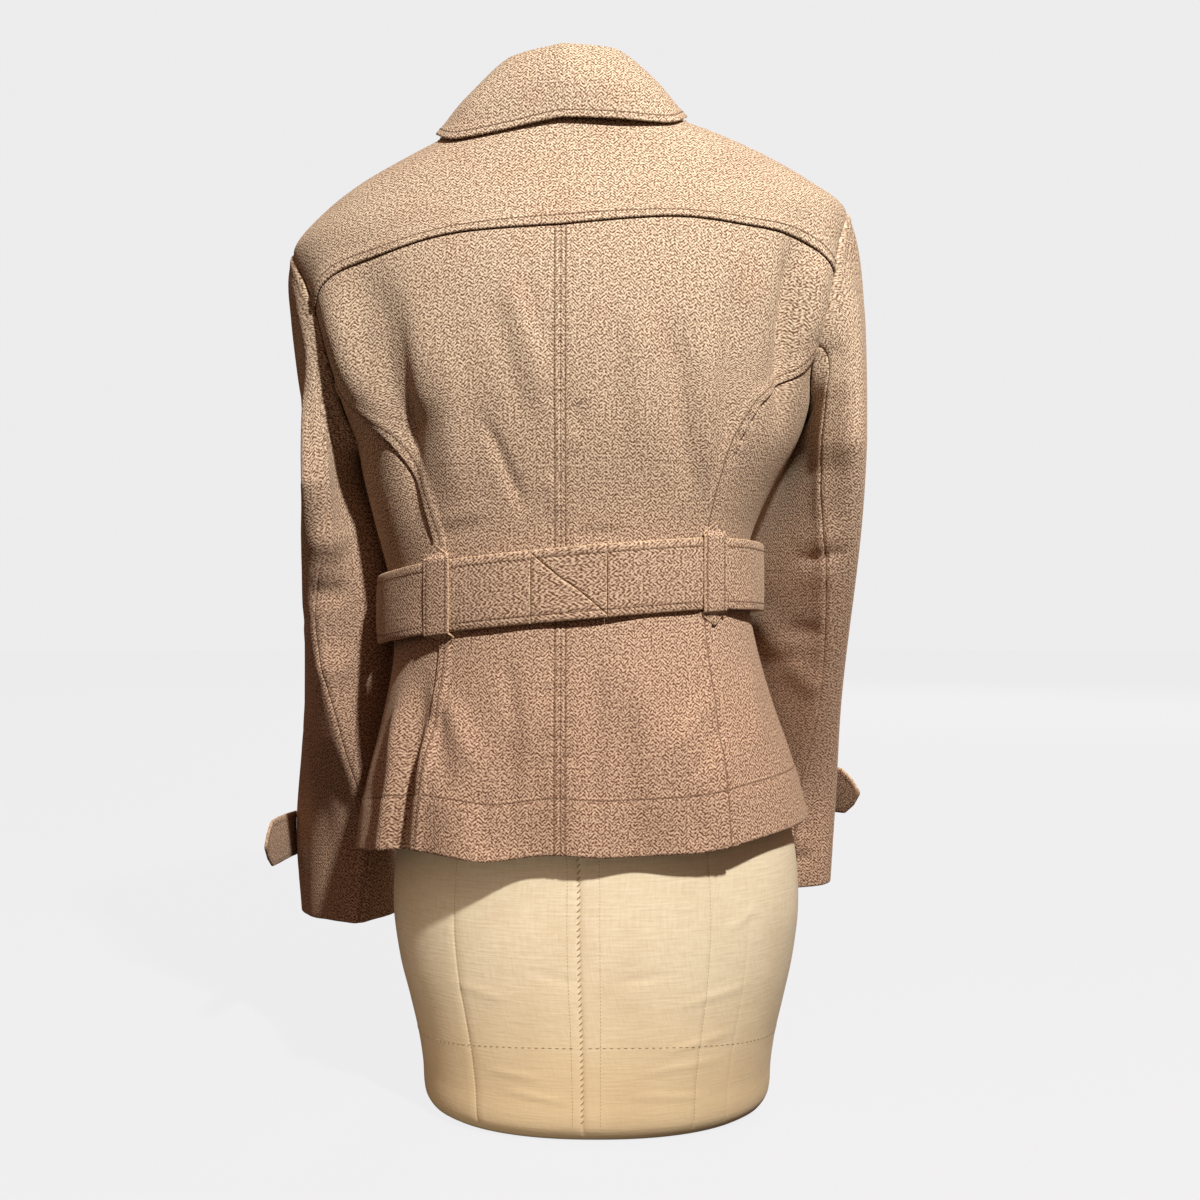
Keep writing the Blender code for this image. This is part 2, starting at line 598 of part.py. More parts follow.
def sleeve_point(side, turn, step):
    """Steps 0 to 1 cover the sleeve head, steps 1 to 2 the arm down to the cuff."""
    top_height = SLEEVE[side][0][0]
    if step > 1:
        height = blend(top_height, SLEEVE[side][-1][0], step - 1)
        return hang(sleeve_section(side, turn, height))
    point, normal, inward = armhole_frame(side, turn)
    lean = head_lean(turn)
    low = (1 - math.cos(math.radians(turn))) / 2
    start = point + inward * SEAM_GAP
    leave = (inward * math.cos(lean) + normal * math.sin(lean)) * blend(0.120, 0.030, low)
    stop = sleeve_section(side, turn, top_height)
    arrive = Vector((0, 0, -1)) * blend(0.150, 0.040, low)
    return hang(start * (2 * step ** 3 - 3 * step ** 2 + 1) + leave * (step ** 3 - 2 * step ** 2 + step)
                + stop * (3 * step ** 2 - 2 * step ** 3) + arrive * (step ** 3 - step ** 2))


def sleeve_normal(side, turn, step):
    if step > 0:
        along = sleeve_point(side, turn + 0.5, step) - sleeve_point(side, turn - 0.5, step)
        upward = sleeve_point(side, turn, min(step + 0.002, 2)) - sleeve_point(side, turn, step - 0.002)
        return along.cross(upward).normalized() * side
    point, normal, inward = armhole_frame(side, turn)
    lean = head_lean(turn)
    return normal * math.cos(lean) - inward * math.sin(lean)


def arm_step(side, height):
    rows = SLEEVE[side]
    return 1 + (rows[0][0] - height) / (rows[0][0] - rows[-1][0])


def sleeve_piece_point(side, turns, turn, step):
    """Point of one sleeve piece, its two seam edges drawn in by half a seam gap."""
    speed = (sleeve_point(side, turn + 1, step) - sleeve_point(side, turn - 1, step)).length / 2
    inset = min(SEAM_GAP / speed, 2.0)
    toward_middle = max(turns[0] + inset - turn, 0.0) - max(turn - turns[-1] + inset, 0.0)
    return sleeve_point(side, turn + toward_middle, step)


UPPER_TURNS = [turn - 360 for turn in ARMHOLE_TURNS[FRONT_SEAM_COLUMN:]] + ARMHOLE_TURNS[:BACK_SEAM_COLUMN + 1]
UNDER_TURNS = ARMHOLE_TURNS[BACK_SEAM_COLUMN:FRONT_SEAM_COLUMN + 1]
for side, label in ((LEFT, "left"), (RIGHT, "right")):
    arm_heights = SLEEVE_ARM_HEIGHTS[:-1] + [SLEEVE[side][-1][0]]
    steps = SLEEVE_HEAD_STEPS + [arm_step(side, height) for height in arm_heights]
    for part, turns in (("upper", UPPER_TURNS), ("under", UNDER_TURNS)):
        surface_wall("sleeve_%s_%s" % (label, part),
                     lambda turn, step: sleeve_piece_point(side, turns, turn, step), turns, steps, CLOTH, side,
                     lambda turn, step: sleeve_normal(side, turn, step))

# Cuff tabs: sewn on at the front of the sleeve, with a free pointed end that stands off
TAB_REST = {LEFT: 0.0001, RIGHT: 0.0002}
TAB_TURN = {LEFT: -20, RIGHT: -30}
TAB_AIM = {LEFT: Vector((-0.12, -0.993, 0)), RIGHT: Vector((0.66, -0.75, 0))}


def tab_point(side, along, up):
    step = arm_step(side, TAB_HEIGHT[side] + up * read_table(TAB, along))
    root = sleeve_point(side, TAB_TURN[side], step)
    tangent = sleeve_point(side, TAB_TURN[side] + 2, step) - root
    tangent.z = 0
    tangent.normalize()
    outward = tangent.cross(Vector((0, 0, 1))) * -side
    aim = TAB_AIM[side].normalized()
    path = root + outward * (CLOTH + TAB_REST[side]) + tangent * min(along, 0.012)
    return path + aim * max(along - 0.012, 0.0)


for side, name in ((LEFT, "tab_left"), (RIGHT, "tab_right")):
    surface_wall(name, lambda along, up: tab_point(side, along, up), [row[0] for row in TAB], [-1, 0, 1], CLOTH,
                 -side)


# Belt: a stiff strip round the waist, with a pieced block at the centre back
def belt_line(angle, out):
    height, off = read_table(BELT, (angle + 180) % 360 - 180)
    point = bare_body(angle, height)
    normal = body_normal(angle, height)
    flat = Vector((normal.x, normal.y, 0)).normalized()
    return hang(point + flat * (off + out))


def belt_end_rise(angle):
    """The right end of the belt passes over the left one at the front."""
    return (BELT_CLOTH + 2 * SEAM_GAP) * smooth(150, 166, angle)


def belt_piece(name, angles, low, high, rise=lambda angle: 0.0):
    outer, inner = [], []
    for share in (0, 0.5, 1):
        outer_line, inner_line = [], []
        for angle in angles:
            height = Vector((0, 0, blend(low(angle), high(angle), share)))
            outer_line.append(belt_line(angle, rise(angle) + BELT_CLOTH) + height)
            inner_line.append(belt_line(angle, rise(angle)) + height)
        outer.append(outer_line)
        inner.append(inner_line)
    return cloth(name, outer, inner)


def belt_low(angle):
    return -BELT_HALF_HEIGHT


def belt_high(angle):
    return BELT_HALF_HEIGHT


block_left_angle = angle_at(BLOCK_LEFT, 0.408)
block_right_angle = angle_at(BLOCK_RIGHT, 0.408)
seam_angle = math.degrees(SEAM_GAP / 2 / 0.110)


def diagonal(angle, gap):
    share = (angle - block_left_angle) / (block_right_angle - block_left_angle)
    return blend(BELT_HALF_HEIGHT - 0.002, -BELT_HALF_HEIGHT + 0.002, share) + gap


def pointed(angle):
    """Half height of the belt's free end, which comes to a blunt point."""
    return blend(BELT_HALF_HEIGHT, 0.010, smooth(BELT_END_ANGLE - 9, BELT_END_ANGLE, angle))


belt_piece("belt_left", spread(-186, block_left_angle - seam_angle, 22), belt_low, belt_high)
belt_piece("belt_right", spread(block_right_angle + seam_angle, BELT_END_ANGLE, 26),
           lambda angle: -pointed(angle), pointed, belt_end_rise)
block_angles = spread(block_left_angle + seam_angle, block_right_angle - seam_angle, 4)
belt_piece("belt_block_upper", block_angles, lambda angle: diagonal(angle, SEAM_GAP), belt_high)
belt_piece("belt_block_lower", block_angles, belt_low, lambda angle: diagonal(angle, -SEAM_GAP))

# Belt loops: straps with pointed ends, sewn to the jacket above and below the belt
LOOP_REST = {LEFT: 0.0007, RIGHT: 0.0012}
LOOP_OVER = 0.0004
for side, name in ((LEFT, "loop_left"), (RIGHT, "loop_right")):
    seam_angle_here = side_back_seam(side, 0.4085)[0]
    middle_height, off = read_table(BELT, seam_angle_here)
    outer, inner = [], []
    for rise, half_width, over in LOOP:
        outer_line, inner_line = [], []
        for across in (-1, 0, 1):
            angle = seam_angle_here + across * math.degrees(half_width / 0.120)
            normal = body_normal(angle, middle_height)
            flat = Vector((normal.x, normal.y, 0)).normalized()
            if over:
                base = belt_line(angle, BELT_CLOTH + LOOP_OVER) + Vector((0, 0, rise))
            else:
                base = body(angle, middle_height + rise, LOOP_REST[side], False)
            inner_line.append(base)
            outer_line.append(base + flat * CLOTH)
        outer.append(outer_line)
        inner.append(inner_line)
    cloth(name, outer, inner)


# Buckle: a plain frame over the belt at the centre front
def rounded_frame(name, middle, half_width, half_height, bar, depth, colour):
    frame = bmesh.new()
    rings = []
    corner = 0.006
    for inset in (0.0, bar):
        loop = []
        for quarter in range(4):
            sign_x = 1 if quarter in (0, 3) else -1
            sign_z = 1 if quarter in (0, 1) else -1
            radius = corner - inset * 0.6
            for step in range(4):
                turn = math.radians(90 * quarter + 30 * step)
                loop.append((sign_x * (half_width - inset - radius) + radius * math.cos(turn),
                             sign_z * (half_height - inset - radius) + radius * math.sin(turn)))
        rings.append(loop)
    layers = []
    for forward in (0.0, depth):
        layers.append([[frame.verts.new(middle + Vector((across, forward, up))) for across, up in loop]
                       for loop in rings])
    count = len(rings[0])
    for index in range(count):
        after = (index + 1) % count
        (low_out, low_in), (high_out, high_in) = layers
        frame.faces.new([low_out[index], low_out[after], low_in[after], low_in[index]])
        frame.faces.new([high_out[index], high_in[index], high_in[after], high_out[after]])
        frame.faces.new([low_out[index], high_out[index], high_out[after], low_out[after]])
        frame.faces.new([low_in[index], low_in[after], high_in[after], high_in[index]])
    return place(name, frame, colour, 0.4)


buckle_middle = belt_line(180, BELT_CLOTH + belt_end_rise(180) + 0.0004)
rounded_frame("buckle", buckle_middle, BUCKLE_HALF_WIDTH, BUCKLE_HALF_HEIGHT, BUCKLE_BAR, 0.0035, HORN)

# Front buttons: flat discs with a rounded rim on the right front's edge
for number, (height, press) in enumerate(BUTTONS, 1):
    disc = bmesh.new()
    bmesh.ops.create_cone(disc, cap_ends=True, segments=20, radius1=BUTTON_RADIUS, radius2=BUTTON_RADIUS,
                          depth=BUTTON_THICKNESS)
    rim = [edge for edge in disc.edges if len({round(vert.co.z, 5) for vert in edge.verts}) == 1]
    bmesh.ops.bevel(disc, geom=rim, offset=0.0011, segments=2, affect="EDGES", profile=0.6)
    normal = body_normal(180, height)
    seat = body(180, height, LAP_RISE + 0.0004 - press + BUTTON_THICKNESS / 2)
    turn = normal.to_track_quat("Z", "Y").to_matrix().to_4x4()
    turn.translation = seat
    bmesh.ops.transform(disc, matrix=turn, verts=disc.verts)
    place("button_%d" % number, disc, HORN, 0.35)


# Dress form: one smooth solid whose shoulders lie just under the jacket
def form_tilt(height):
    return HANG_TILT * smooth(0.14, 0.42, height)


def form_ring(across, half_width, back, front, height):
    ring = []
    for column in range(FORM_COLUMNS):
        over, forward = ring_point(across, half_width, back, front, 360 * column / FORM_COLUMNS)
        ring.append(Vector((over, forward, height + form_tilt(height) * (over - BODY_X))))
    return ring


rings = [form_ring(*row[1:], row[0]) for row in FORM]
for height in FORM_SHOULDER_HEIGHTS:
    ring = []
    for column in range(FORM_COLUMNS):
        angle = 360 * column / FORM_COLUMNS
        from_back = min(angle, 360 - angle)
        sink = FORM_FRONT_SINK * smooth(90, 106, from_back)
        ring.append(body(angle, height, -CLOTH - FORM_REST_GAP - sink, False))
    rings.append(ring)
rings += [form_ring(*row[1:], row[0]) for row in FORM_NECK]
solid = bmesh.new()
levels = [[solid.verts.new(point) for point in ring] for ring in rings]
for low, high in zip(levels, levels[1:]):
    for column in range(FORM_COLUMNS):
        after = (column + 1) % FORM_COLUMNS
        solid.faces.new([low[column], low[after], high[after], high[column]])
solid.faces.new(levels[0])
solid.faces.new(levels[-1])
place("form_torso", solid, CANVAS)

cap = bmesh.new()
cap_levels = []
for inset, up in ((0.0012, 0.0), (0.0, 0.25), (0.0, 0.75), (0.0012, 1.0)):
    height, across, half_width, back, front = FORM_NECK[-1]
    height += SEAM_GAP + up * NECK_CAP_THICKNESS
    cap_levels.append([cap.verts.new(point) for point in
                       form_ring(across, half_width - inset, back - inset, front - inset, height)])
for low, high in zip(cap_levels, cap_levels[1:]):
    for column in range(FORM_COLUMNS):
        after = (column + 1) % FORM_COLUMNS
        cap.faces.new([low[column], low[after], high[after], high[column]])
cap.faces.new(cap_levels[0])
cap.faces.new(cap_levels[-1])
place("form_neck_cap", cap, (0.30, 0.18, 0.09), 0.5)
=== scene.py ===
import bpy
import numpy as np
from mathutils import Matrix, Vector


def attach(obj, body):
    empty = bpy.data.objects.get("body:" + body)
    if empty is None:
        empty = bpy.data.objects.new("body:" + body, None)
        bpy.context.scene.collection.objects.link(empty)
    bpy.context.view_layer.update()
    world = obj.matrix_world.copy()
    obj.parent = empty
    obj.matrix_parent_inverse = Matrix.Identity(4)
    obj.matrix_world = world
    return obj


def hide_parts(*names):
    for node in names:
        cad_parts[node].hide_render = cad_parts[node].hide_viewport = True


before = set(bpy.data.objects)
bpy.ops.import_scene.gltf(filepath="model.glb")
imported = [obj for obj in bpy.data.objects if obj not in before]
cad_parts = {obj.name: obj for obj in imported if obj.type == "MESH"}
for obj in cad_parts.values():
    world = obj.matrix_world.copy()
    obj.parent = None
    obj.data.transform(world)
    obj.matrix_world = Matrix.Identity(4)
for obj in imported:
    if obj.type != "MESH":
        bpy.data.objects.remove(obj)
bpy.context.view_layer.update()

# Dress form: a hard, limbless torso under a sewn cover of cream cotton canvas, yellowed near its base.
# The cover is cut in long panels. Its centre back seam is oversewn by hand between two machine rows.
# Heights are the form's own, and the form leans with the jacket above the hips.
ROUNDNESS = 2.2
BODY_X = -0.0216
HANG_TILT = 0.075
CLOTH = 0.0018
# Jacket body: height, sideways shift, half width, depth to the back, depth to the front
BODY = [
    (0.205, 0.010, 0.1805, 0.1325, 0.1280), (0.257, 0.007, 0.1700, 0.1290, 0.1250),
    (0.301, 0.005, 0.1570, 0.1230, 0.1200), (0.331, 0.004, 0.1490, 0.1170, 0.1150),
    (0.360, 0.003, 0.1430, 0.1110, 0.1090), (0.385, 0.001, 0.1410, 0.1070, 0.1050),
    (0.410, 0.000, 0.1410, 0.1050, 0.1035), (0.434, -0.001, 0.1445, 0.1050, 0.1055),
    (0.468, 0.002, 0.1565, 0.1070, 0.1125), (0.505, 0.008, 0.1715, 0.1110, 0.1230),
    (0.534, 0.010, 0.1800, 0.1130, 0.1280), (0.557, 0.006, 0.1890, 0.1140, 0.1280),
    (0.585, 0.004, 0.1990, 0.1135, 0.1240), (0.620, 0.004, 0.2100, 0.1100, 0.1120),
    (0.655, 0.002, 0.2175, 0.1040, 0.0980), (0.688, 0.000, 0.2190, 0.0950, 0.0835),
    (0.711, -0.004, 0.1960, 0.0860, 0.0715), (0.733, -0.006, 0.1640, 0.0775, 0.0610),
    (0.752, -0.005, 0.1260, 0.0710, 0.0560), (0.7655, -0.005, 0.0930, 0.0665, 0.0555),
    (0.774, -0.004, 0.0725, 0.0630, 0.0560), (0.784, -0.004, 0.0660, 0.0610, 0.0570),
]
BODY_TOP = BODY[-1][0]
# Dress form: height, across, half width, depth to the back, depth to the front
FORM = [
    (0.0000, 0.0000, 0.1270, 0.0970, 0.0870), (0.0035, 0.0000, 0.1325, 0.1020, 0.0920),
    (0.0120, 0.0000, 0.1368, 0.1065, 0.0965), (0.0340, 0.0000, 0.1385, 0.1085, 0.0975),
    (0.0570, 0.0000, 0.1420, 0.1105, 0.0980), (0.0850, 0.0000, 0.1485, 0.1125, 0.0990),
    (0.1170, -0.0005, 0.1560, 0.1150, 0.1000), (0.1570, -0.0008, 0.1608, 0.1165, 0.1000),
    (0.2000, -0.0010, 0.1582, 0.1150, 0.0990), (0.2500, -0.0040, 0.1500, 0.1100, 0.0970),
    (0.3000, -0.0080, 0.1410, 0.1030, 0.0950), (0.3550, -0.0140, 0.1325, 0.0950, 0.0930),
    (0.4050, -0.0195, 0.1290, 0.0900, 0.0905), (0.4500, -0.0216, 0.1340, 0.0910, 0.0960),
    (0.5050, -0.0166, 0.1500, 0.0970, 0.1100), (0.5450, -0.0156, 0.1600, 0.1000, 0.1150),
    (0.6000, -0.0176, 0.1680, 0.0990, 0.1060), (0.6500, -0.0196, 0.1740, 0.0930, 0.0920),
    (0.6900, -0.0220, 0.1760, 0.0850, 0.0760), (0.7080, -0.0245, 0.1740, 0.0805, 0.0690),
]
FORM_NECK = [(0.7680, -0.0256, 0.0600, 0.0560, 0.0490), (0.780, -0.0256, 0.0560, 0.0520, 0.0480),
             (0.800, -0.0256, 0.0545, 0.0505, 0.0475)]
FORM_SHOULDER_HEIGHTS = [0.728, 0.737, 0.746, 0.755, 0.762]
FORM_REST_GAP = 0.0023
FORM_FRONT_SINK = 0.0032
FORM_AXIS = np.array([-0.012, 0, 0])
FORM_RADIUS = 0.115
FORM_CENTRE_SEAM = -3.3
# Seams of the canvas cover: angle from the centre back, depth of the seam's groove
FORM_SEAMS = [
    (-90.0, 0.0004), (-38.5, 0.0005), (FORM_CENTRE_SEAM, 0.0010),
    (29.5, 0.0005), (43.0, 0.0002), (90.0, 0.0004),
    (146.0, 0.0005), (180.0, 0.0006), (214.0, 0.0005),
]
SEAM_GROOVE = 0.0011
SEAM_WELT_PLACE, SEAM_WELT = 0.0028, 0.0016
# Tension wrinkles of the cover: across and height of both ends, half width, rise
FORM_WRINKLES = [
    (0.045, 0.066, 0.105, 0.078, 0.0022, 0.0007), (0.030, 0.052, 0.098, 0.058, 0.0018, 0.0006),
    (-0.085, 0.052, -0.035, 0.047, 0.0022, 0.0006), (-0.070, 0.038, -0.015, 0.030, 0.0020, 0.0007),
    (0.020, 0.036, 0.085, 0.030, 0.0020, 0.0006), (0.055, 0.100, 0.118, 0.112, 0.0025, 0.0007),
    (-0.110, 0.115, -0.060, 0.104, 0.0025, 0.0006), (-0.045, 0.128, -0.012, 0.118, 0.0020, -0.0006),
    (0.014, 0.120, 0.060, 0.126, 0.0022, -0.0006), (0.090, 0.150, 0.125, 0.172, 0.0030, 0.0006),
]


def read_table(table, place):
    """The other columns of a table at places in its first one, along a smooth curve."""
    rows = np.array(table, float)
    keys, values = rows[:, 0], rows[:, 1:]
    place = np.clip(np.asarray(place, float), keys[0], keys[-1])
    row = np.clip(np.searchsorted(keys, place, side="right") - 1, 0, len(keys) - 2)
    before, after = np.maximum(row - 1, 0), np.minimum(row + 2, len(keys) - 1)
    length = (keys[row + 1] - keys[row])[..., None]
    share = (place - keys[row])[..., None] / length
    leave = (values[row + 1] - values[before]) / (keys[row + 1] - keys[before])[..., None] * length
    arrive = (values[after] - values[row]) / (keys[after] - keys[row])[..., None] * length
    drop = values[row] - values[row + 1]
    found = values[row] + share * (leave + share * (
        -3 * drop - 2 * leave - arrive + share * (2 * drop + leave + arrive)))
    return found if found.shape[-1] > 1 else found[..., 0]


def columns_of(table, place):
    return np.moveaxis(read_table(table, place), -1, 0)


def smooth(low, high, value):
    share = np.clip((np.asarray(value, float) - low) / (high - low), 0.0, 1.0)
    return share * share * (3 - 2 * share)


def mix(start, stop, share):
    return start + (stop - start) * share


def unit(vectors):
    return vectors / np.maximum(np.linalg.norm(vectors, axis=-1, keepdims=True), 1e-12)


def hump(distance, half_width):
    return np.exp(-(distance / half_width) ** 2)


def ring_point(across, half_width, back, front, angle):
    """Place on one section. Angle 0 is the centre back, 90 the right side, 180 the centre front."""
    turn = np.radians(angle)
    side, rear = np.sin(turn), np.cos(turn)
    depth = np.where(rear > 0, back, front)
    return (across + half_width * np.sign(side) * np.abs(side) ** (2 / ROUNDNESS),
            -depth * np.sign(rear) * np.abs(rear) ** (2 / ROUNDNESS))


def bare_body(angle, height):
    """Point on the jacket's smooth body, hanging level."""
    angle, height = np.broadcast_arrays(np.asarray(angle, float), np.asarray(height, float))
    across, forward = ring_point(*columns_of(BODY, height), angle)
    return np.stack([BODY_X + across, forward, height], -1)


def body_normal(angle, height):
    turn_step, rise_step = 0.4, 0.0015
    along = bare_body(angle + turn_step, height) - bare_body(angle - turn_step, height)
    upward = bare_body(angle, np.minimum(height + rise_step, BODY_TOP)) - bare_body(angle, height - rise_step)
    return unit(np.cross(along, upward))


def hang(points):
    """The jacket hangs askew: its right side is higher."""
    hung = np.array(points, float)
    hung[..., 2] += HANG_TILT * (hung[..., 0] - BODY_X)
    return hung


def crease_rise(across, height, creases):
    """How far creases move a surface. Each has the across and height of both ends, half width and rise."""
    rise = np.zeros(np.shape(across))
    for start_x, start_z, stop_x, stop_z, half_width, size in creases:
        run_x, run_z = stop_x - start_x, stop_z - start_z
        share = ((across - start_x) * run_x + (height - start_z) * run_z) / (run_x ** 2 + run_z ** 2)
        share = np.clip(share, 0, 1)
        off = np.hypot(across - start_x - share * run_x, height - start_z - share * run_z)
        fade = smooth(0.0, 0.3, share) * (1 - smooth(0.65, 1.0, share))
        rise += size * fade * hump(off, half_width)
    return rise


def grid_faces(rows, columns, wrap=False):
    """Corners of every square of a grid of points, the last column joined to the first if it wraps."""
    index = np.arange(rows * columns).reshape(rows, columns)
    if wrap:
        index = np.concatenate([index, index[:, :1]], 1)
    return np.stack([index[:-1, :-1], index[:-1, 1:], index[1:, 1:], index[1:, :-1]], -1).reshape(-1, 4)


def capped_faces(rows, columns):
    """Squares of a grid that wraps, with its first and last rows closed by flat ends."""
    first = list(range(columns))[::-1]
    last = [(rows - 1) * columns + column for column in range(columns)]
    return grid_faces(rows, columns, wrap=True).tolist() + [first, last]


def mesh_piece(name, points, faces, material, places=None, edges=None):
    """Smooth-shaded mesh object. places are flat cloth coordinates and edges are distances to a cut edge."""
    mesh = bpy.data.meshes.new(name)
    mesh.from_pydata(np.asarray(points).reshape(-1, 3).tolist(), [], [list(map(int, face)) for face in faces])
    corners = np.empty(len(mesh.loops), int)
    mesh.loops.foreach_get("vertex_index", corners)
    for layer, values in (("Cloth", places), ("Edge", edges)):
        if values is not None:
            flat = np.asarray(values, float).reshape(-1, 2)
            mesh.uv_layers.new(name=layer).data.foreach_set("uv", flat[corners].ravel())
    mesh.validate()
    mesh.shade_smooth()
    mesh.materials.append(material)
    piece = bpy.data.objects.new(name, mesh)
    bpy.context.scene.collection.objects.link(piece)
    return piece


def add_node(tree, kind, inputs=(), **settings):
    """One shader node. inputs maps sockets to plain values or to other nodes' outputs."""
    made = tree.nodes.new(kind)
    for name, value in settings.items():
        setattr(made, name, value)
    for socket, value in dict(inputs).items():
        if isinstance(value, bpy.types.NodeSocket):
            tree.links.new(value, made.inputs[socket])
        else:
            made.inputs[socket].default_value = value
    return made


def math_node(tree, operation, *values):
    return add_node(tree, "ShaderNodeMath", enumerate(values), operation=operation).outputs[0]


def range_node(tree, value, low, high, to_low=0.0, to_high=1.0):
    """Value eased from one range into another."""
    inputs = {"Value": value, "From Min": low, "From Max": high, "To Min": to_low, "To Max": to_high}
    return add_node(tree, "ShaderNodeMapRange", inputs, interpolation_type="SMOOTHSTEP").outputs[0]


def noise_node(tree, place, scale, detail=2.0):
    inputs = {"Vector": place, "Scale": scale, "Detail": detail}
    return add_node(tree, "ShaderNodeTexNoise", inputs).outputs["Fac"]


def object_place(tree):
    return add_node(tree, "ShaderNodeTexCoord").outputs["Object"]


def uv_place(tree, layer):
    return add_node(tree, "ShaderNodeUVMap", uv_map=layer).outputs["UV"]


def parts_of(tree, place):
    return add_node(tree, "ShaderNodeSeparateXYZ", {0: place}).outputs


def drawn_out(tree, place, scale):
    """Place scaled by its own amount along each axis, which draws noise out into streaks."""
    return add_node(tree, "ShaderNodeVectorMath", {0: place, 1: scale}, operation="MULTIPLY").outputs[0]


def colour_mix(tree, share, start, stop, kind="MIX"):
    mixed = add_node(tree, "ShaderNodeMix", {0: share, 6: start, 7: stop}, data_type="RGBA", blend_type=kind)
    return mixed.outputs[2]


def new_group(name, inputs, outputs):
    """Empty shader node group with named sockets: its tree, its inputs by name and its output node."""
    tree = bpy.data.node_groups.new(name, "ShaderNodeTree")
    for label, kind in inputs:
        tree.interface.new_socket(label, in_out="INPUT", socket_type="NodeSocket" + kind)
    for label, kind in outputs:
        tree.interface.new_socket(label, in_out="OUTPUT", socket_type="NodeSocket" + kind)
    given = tree.nodes.new("NodeGroupInput").outputs
    return tree, {label: given[label] for label, kind in inputs}, tree.nodes.new("NodeGroupOutput")


def new_material(name, roughness, sheen=0.0, specular=0.3):
    made = bpy.data.materials.new(name)
    made.use_nodes = True
    surface = made.node_tree.nodes["Principled BSDF"]
    surface.inputs["Roughness"].default_value = roughness
    surface.inputs["Sheen Weight"].default_value = sheen
    surface.inputs["Sheen Roughness"].default_value = 0.5
    surface.inputs["Specular IOR Level"].default_value = specular
    return made, made.node_tree, surface


def use_group(tree, group, inputs):
    return add_node(tree, "ShaderNodeGroup", inputs, node_tree=group)


def bump(tree, surface, height, distance):
    raised = add_node(tree, "ShaderNodeBump", {"Height": height, "Strength": 1.0, "Distance": distance})
    tree.links.new(raised.outputs["Normal"], surface.inputs["Normal"])


CANVAS_PALE, CANVAS_DARK = (0.86, 0.76, 0.56, 1), (0.76, 0.64, 0.44, 1)
CANVAS_YELLOWED, CANVAS_STAIN = (0.74, 0.54, 0.29, 1), (0.50, 0.33, 0.17, 1)
WARP_STREAK, WEFT_STREAK = (45.0, 620.0, 1.0), (620.0, 45.0, 1.0)
canvas_group, given, result = new_group(
    "plain_canvas_weave", [("Place", "Vector"), ("Pale", "Color"), ("Dark", "Color")],
    [("Color", "Color"), ("Height", "Float")])
slub = noise_node(canvas_group, given["Place"], 260.0, 3.0)
streaks = [noise_node(canvas_group, drawn_out(canvas_group, given["Place"], streak), 1.0, 3.0)
           for streak in (WARP_STREAK, WEFT_STREAK)]
threads = math_node(canvas_group, "ADD", math_node(canvas_group, "MULTIPLY", streaks[0], 0.55),
                    math_node(canvas_group, "MULTIPLY", streaks[1], 0.30))
weave_mask = math_node(canvas_group, "ADD", threads, math_node(canvas_group, "MULTIPLY", slub, 0.25))
pale_share = range_node(canvas_group, weave_mask, 0.38, 0.72)
woven = colour_mix(canvas_group, pale_share, given["Dark"], given["Pale"])
canvas_group.links.new(woven, result.inputs["Color"])
canvas_group.links.new(weave_mask, result.inputs["Height"])

canvas, tree, surface = new_material("aged_canvas", 0.88, 0.08, 0.2)
space = object_place(tree)
weave = use_group(tree, canvas_group, {
    "Place": uv_place(tree, "Cloth"), "Pale": CANVAS_PALE, "Dark": CANVAS_DARK}).outputs
stain = range_node(tree, noise_node(tree, space, 13.0, 4.0), 0.46, 0.72)
uneven = math_node(tree, "MULTIPLY", noise_node(tree, space, 9.0, 3.0), 0.05)
height_up = math_node(tree, "ADD", parts_of(tree, space)["Z"], uneven)
yellowed = range_node(tree, height_up, 0.05, 0.17, 0.60, 0.0)
aged = colour_mix(tree, yellowed, weave["Color"], CANVAS_YELLOWED)
stained = colour_mix(tree, math_node(tree, "MULTIPLY", stain, 0.18), aged, CANVAS_STAIN)
tree.links.new(stained, surface.inputs["Base Color"])
bump(tree, surface, weave["Height"], 0.0003)


def form_tilt(height):
    """Lean of the form, which grows from its base to the waist."""
    return HANG_TILT * smooth(0.14, 0.42, height)


def form_ring(row, angles):
    height, across, half_width, back, front = row
    over, forward = ring_point(across, half_width, back, front, angles)
    return np.stack([over, forward, height + form_tilt(height) * (over - BODY_X)], -1)


def form_outward(points):
    """Level directions out from the form's upright axis."""
    return unit(points * (1, 1, 0) - FORM_AXIS)


def shoulder_ring(height, angles):
    """The form's shoulders lie just under the jacket."""
    from_back = np.minimum(angles % 360, 360 - angles % 360)
    sink = CLOTH + FORM_REST_GAP + FORM_FRONT_SINK * smooth(90, 106, from_back)
    heights = np.full(angles.shape, height)
    return hang(bare_body(angles, heights) - body_normal(angles, heights) * sink[:, None])


seam_angles = np.array([row[0] for row in FORM_SEAMS])
beside_seam = np.array([-0.8, -0.45, -0.2, 0.0, 0.2, 0.45, 0.8])
even_angles = np.arange(-96, 264, 2.25)
far_from_seams = np.abs(even_angles[:, None] - seam_angles).min(1) > 1.5
close_angles = (seam_angles[:, None] + beside_seam).ravel()
form_angles = np.sort(np.concatenate([even_angles[far_from_seams], close_angles]))
form_rings = [(row[0], form_ring(row, form_angles)) for row in FORM]
form_rings += [(height, shoulder_ring(height, form_angles)) for height in FORM_SHOULDER_HEIGHTS]
form_rings += [(row[0], form_ring(row, form_angles)) for row in FORM_NECK]
form_table = [[height, *ring.ravel()] for height, ring in form_rings]
form_heights = np.concatenate([np.linspace(0, 0.012, 9)[:-1], np.linspace(0.012, 0.25, 96)[:-1],
                               np.linspace(0.25, 0.8, 110)])
form_points = read_table(form_table, form_heights).reshape(len(form_heights), len(form_angles), 3)
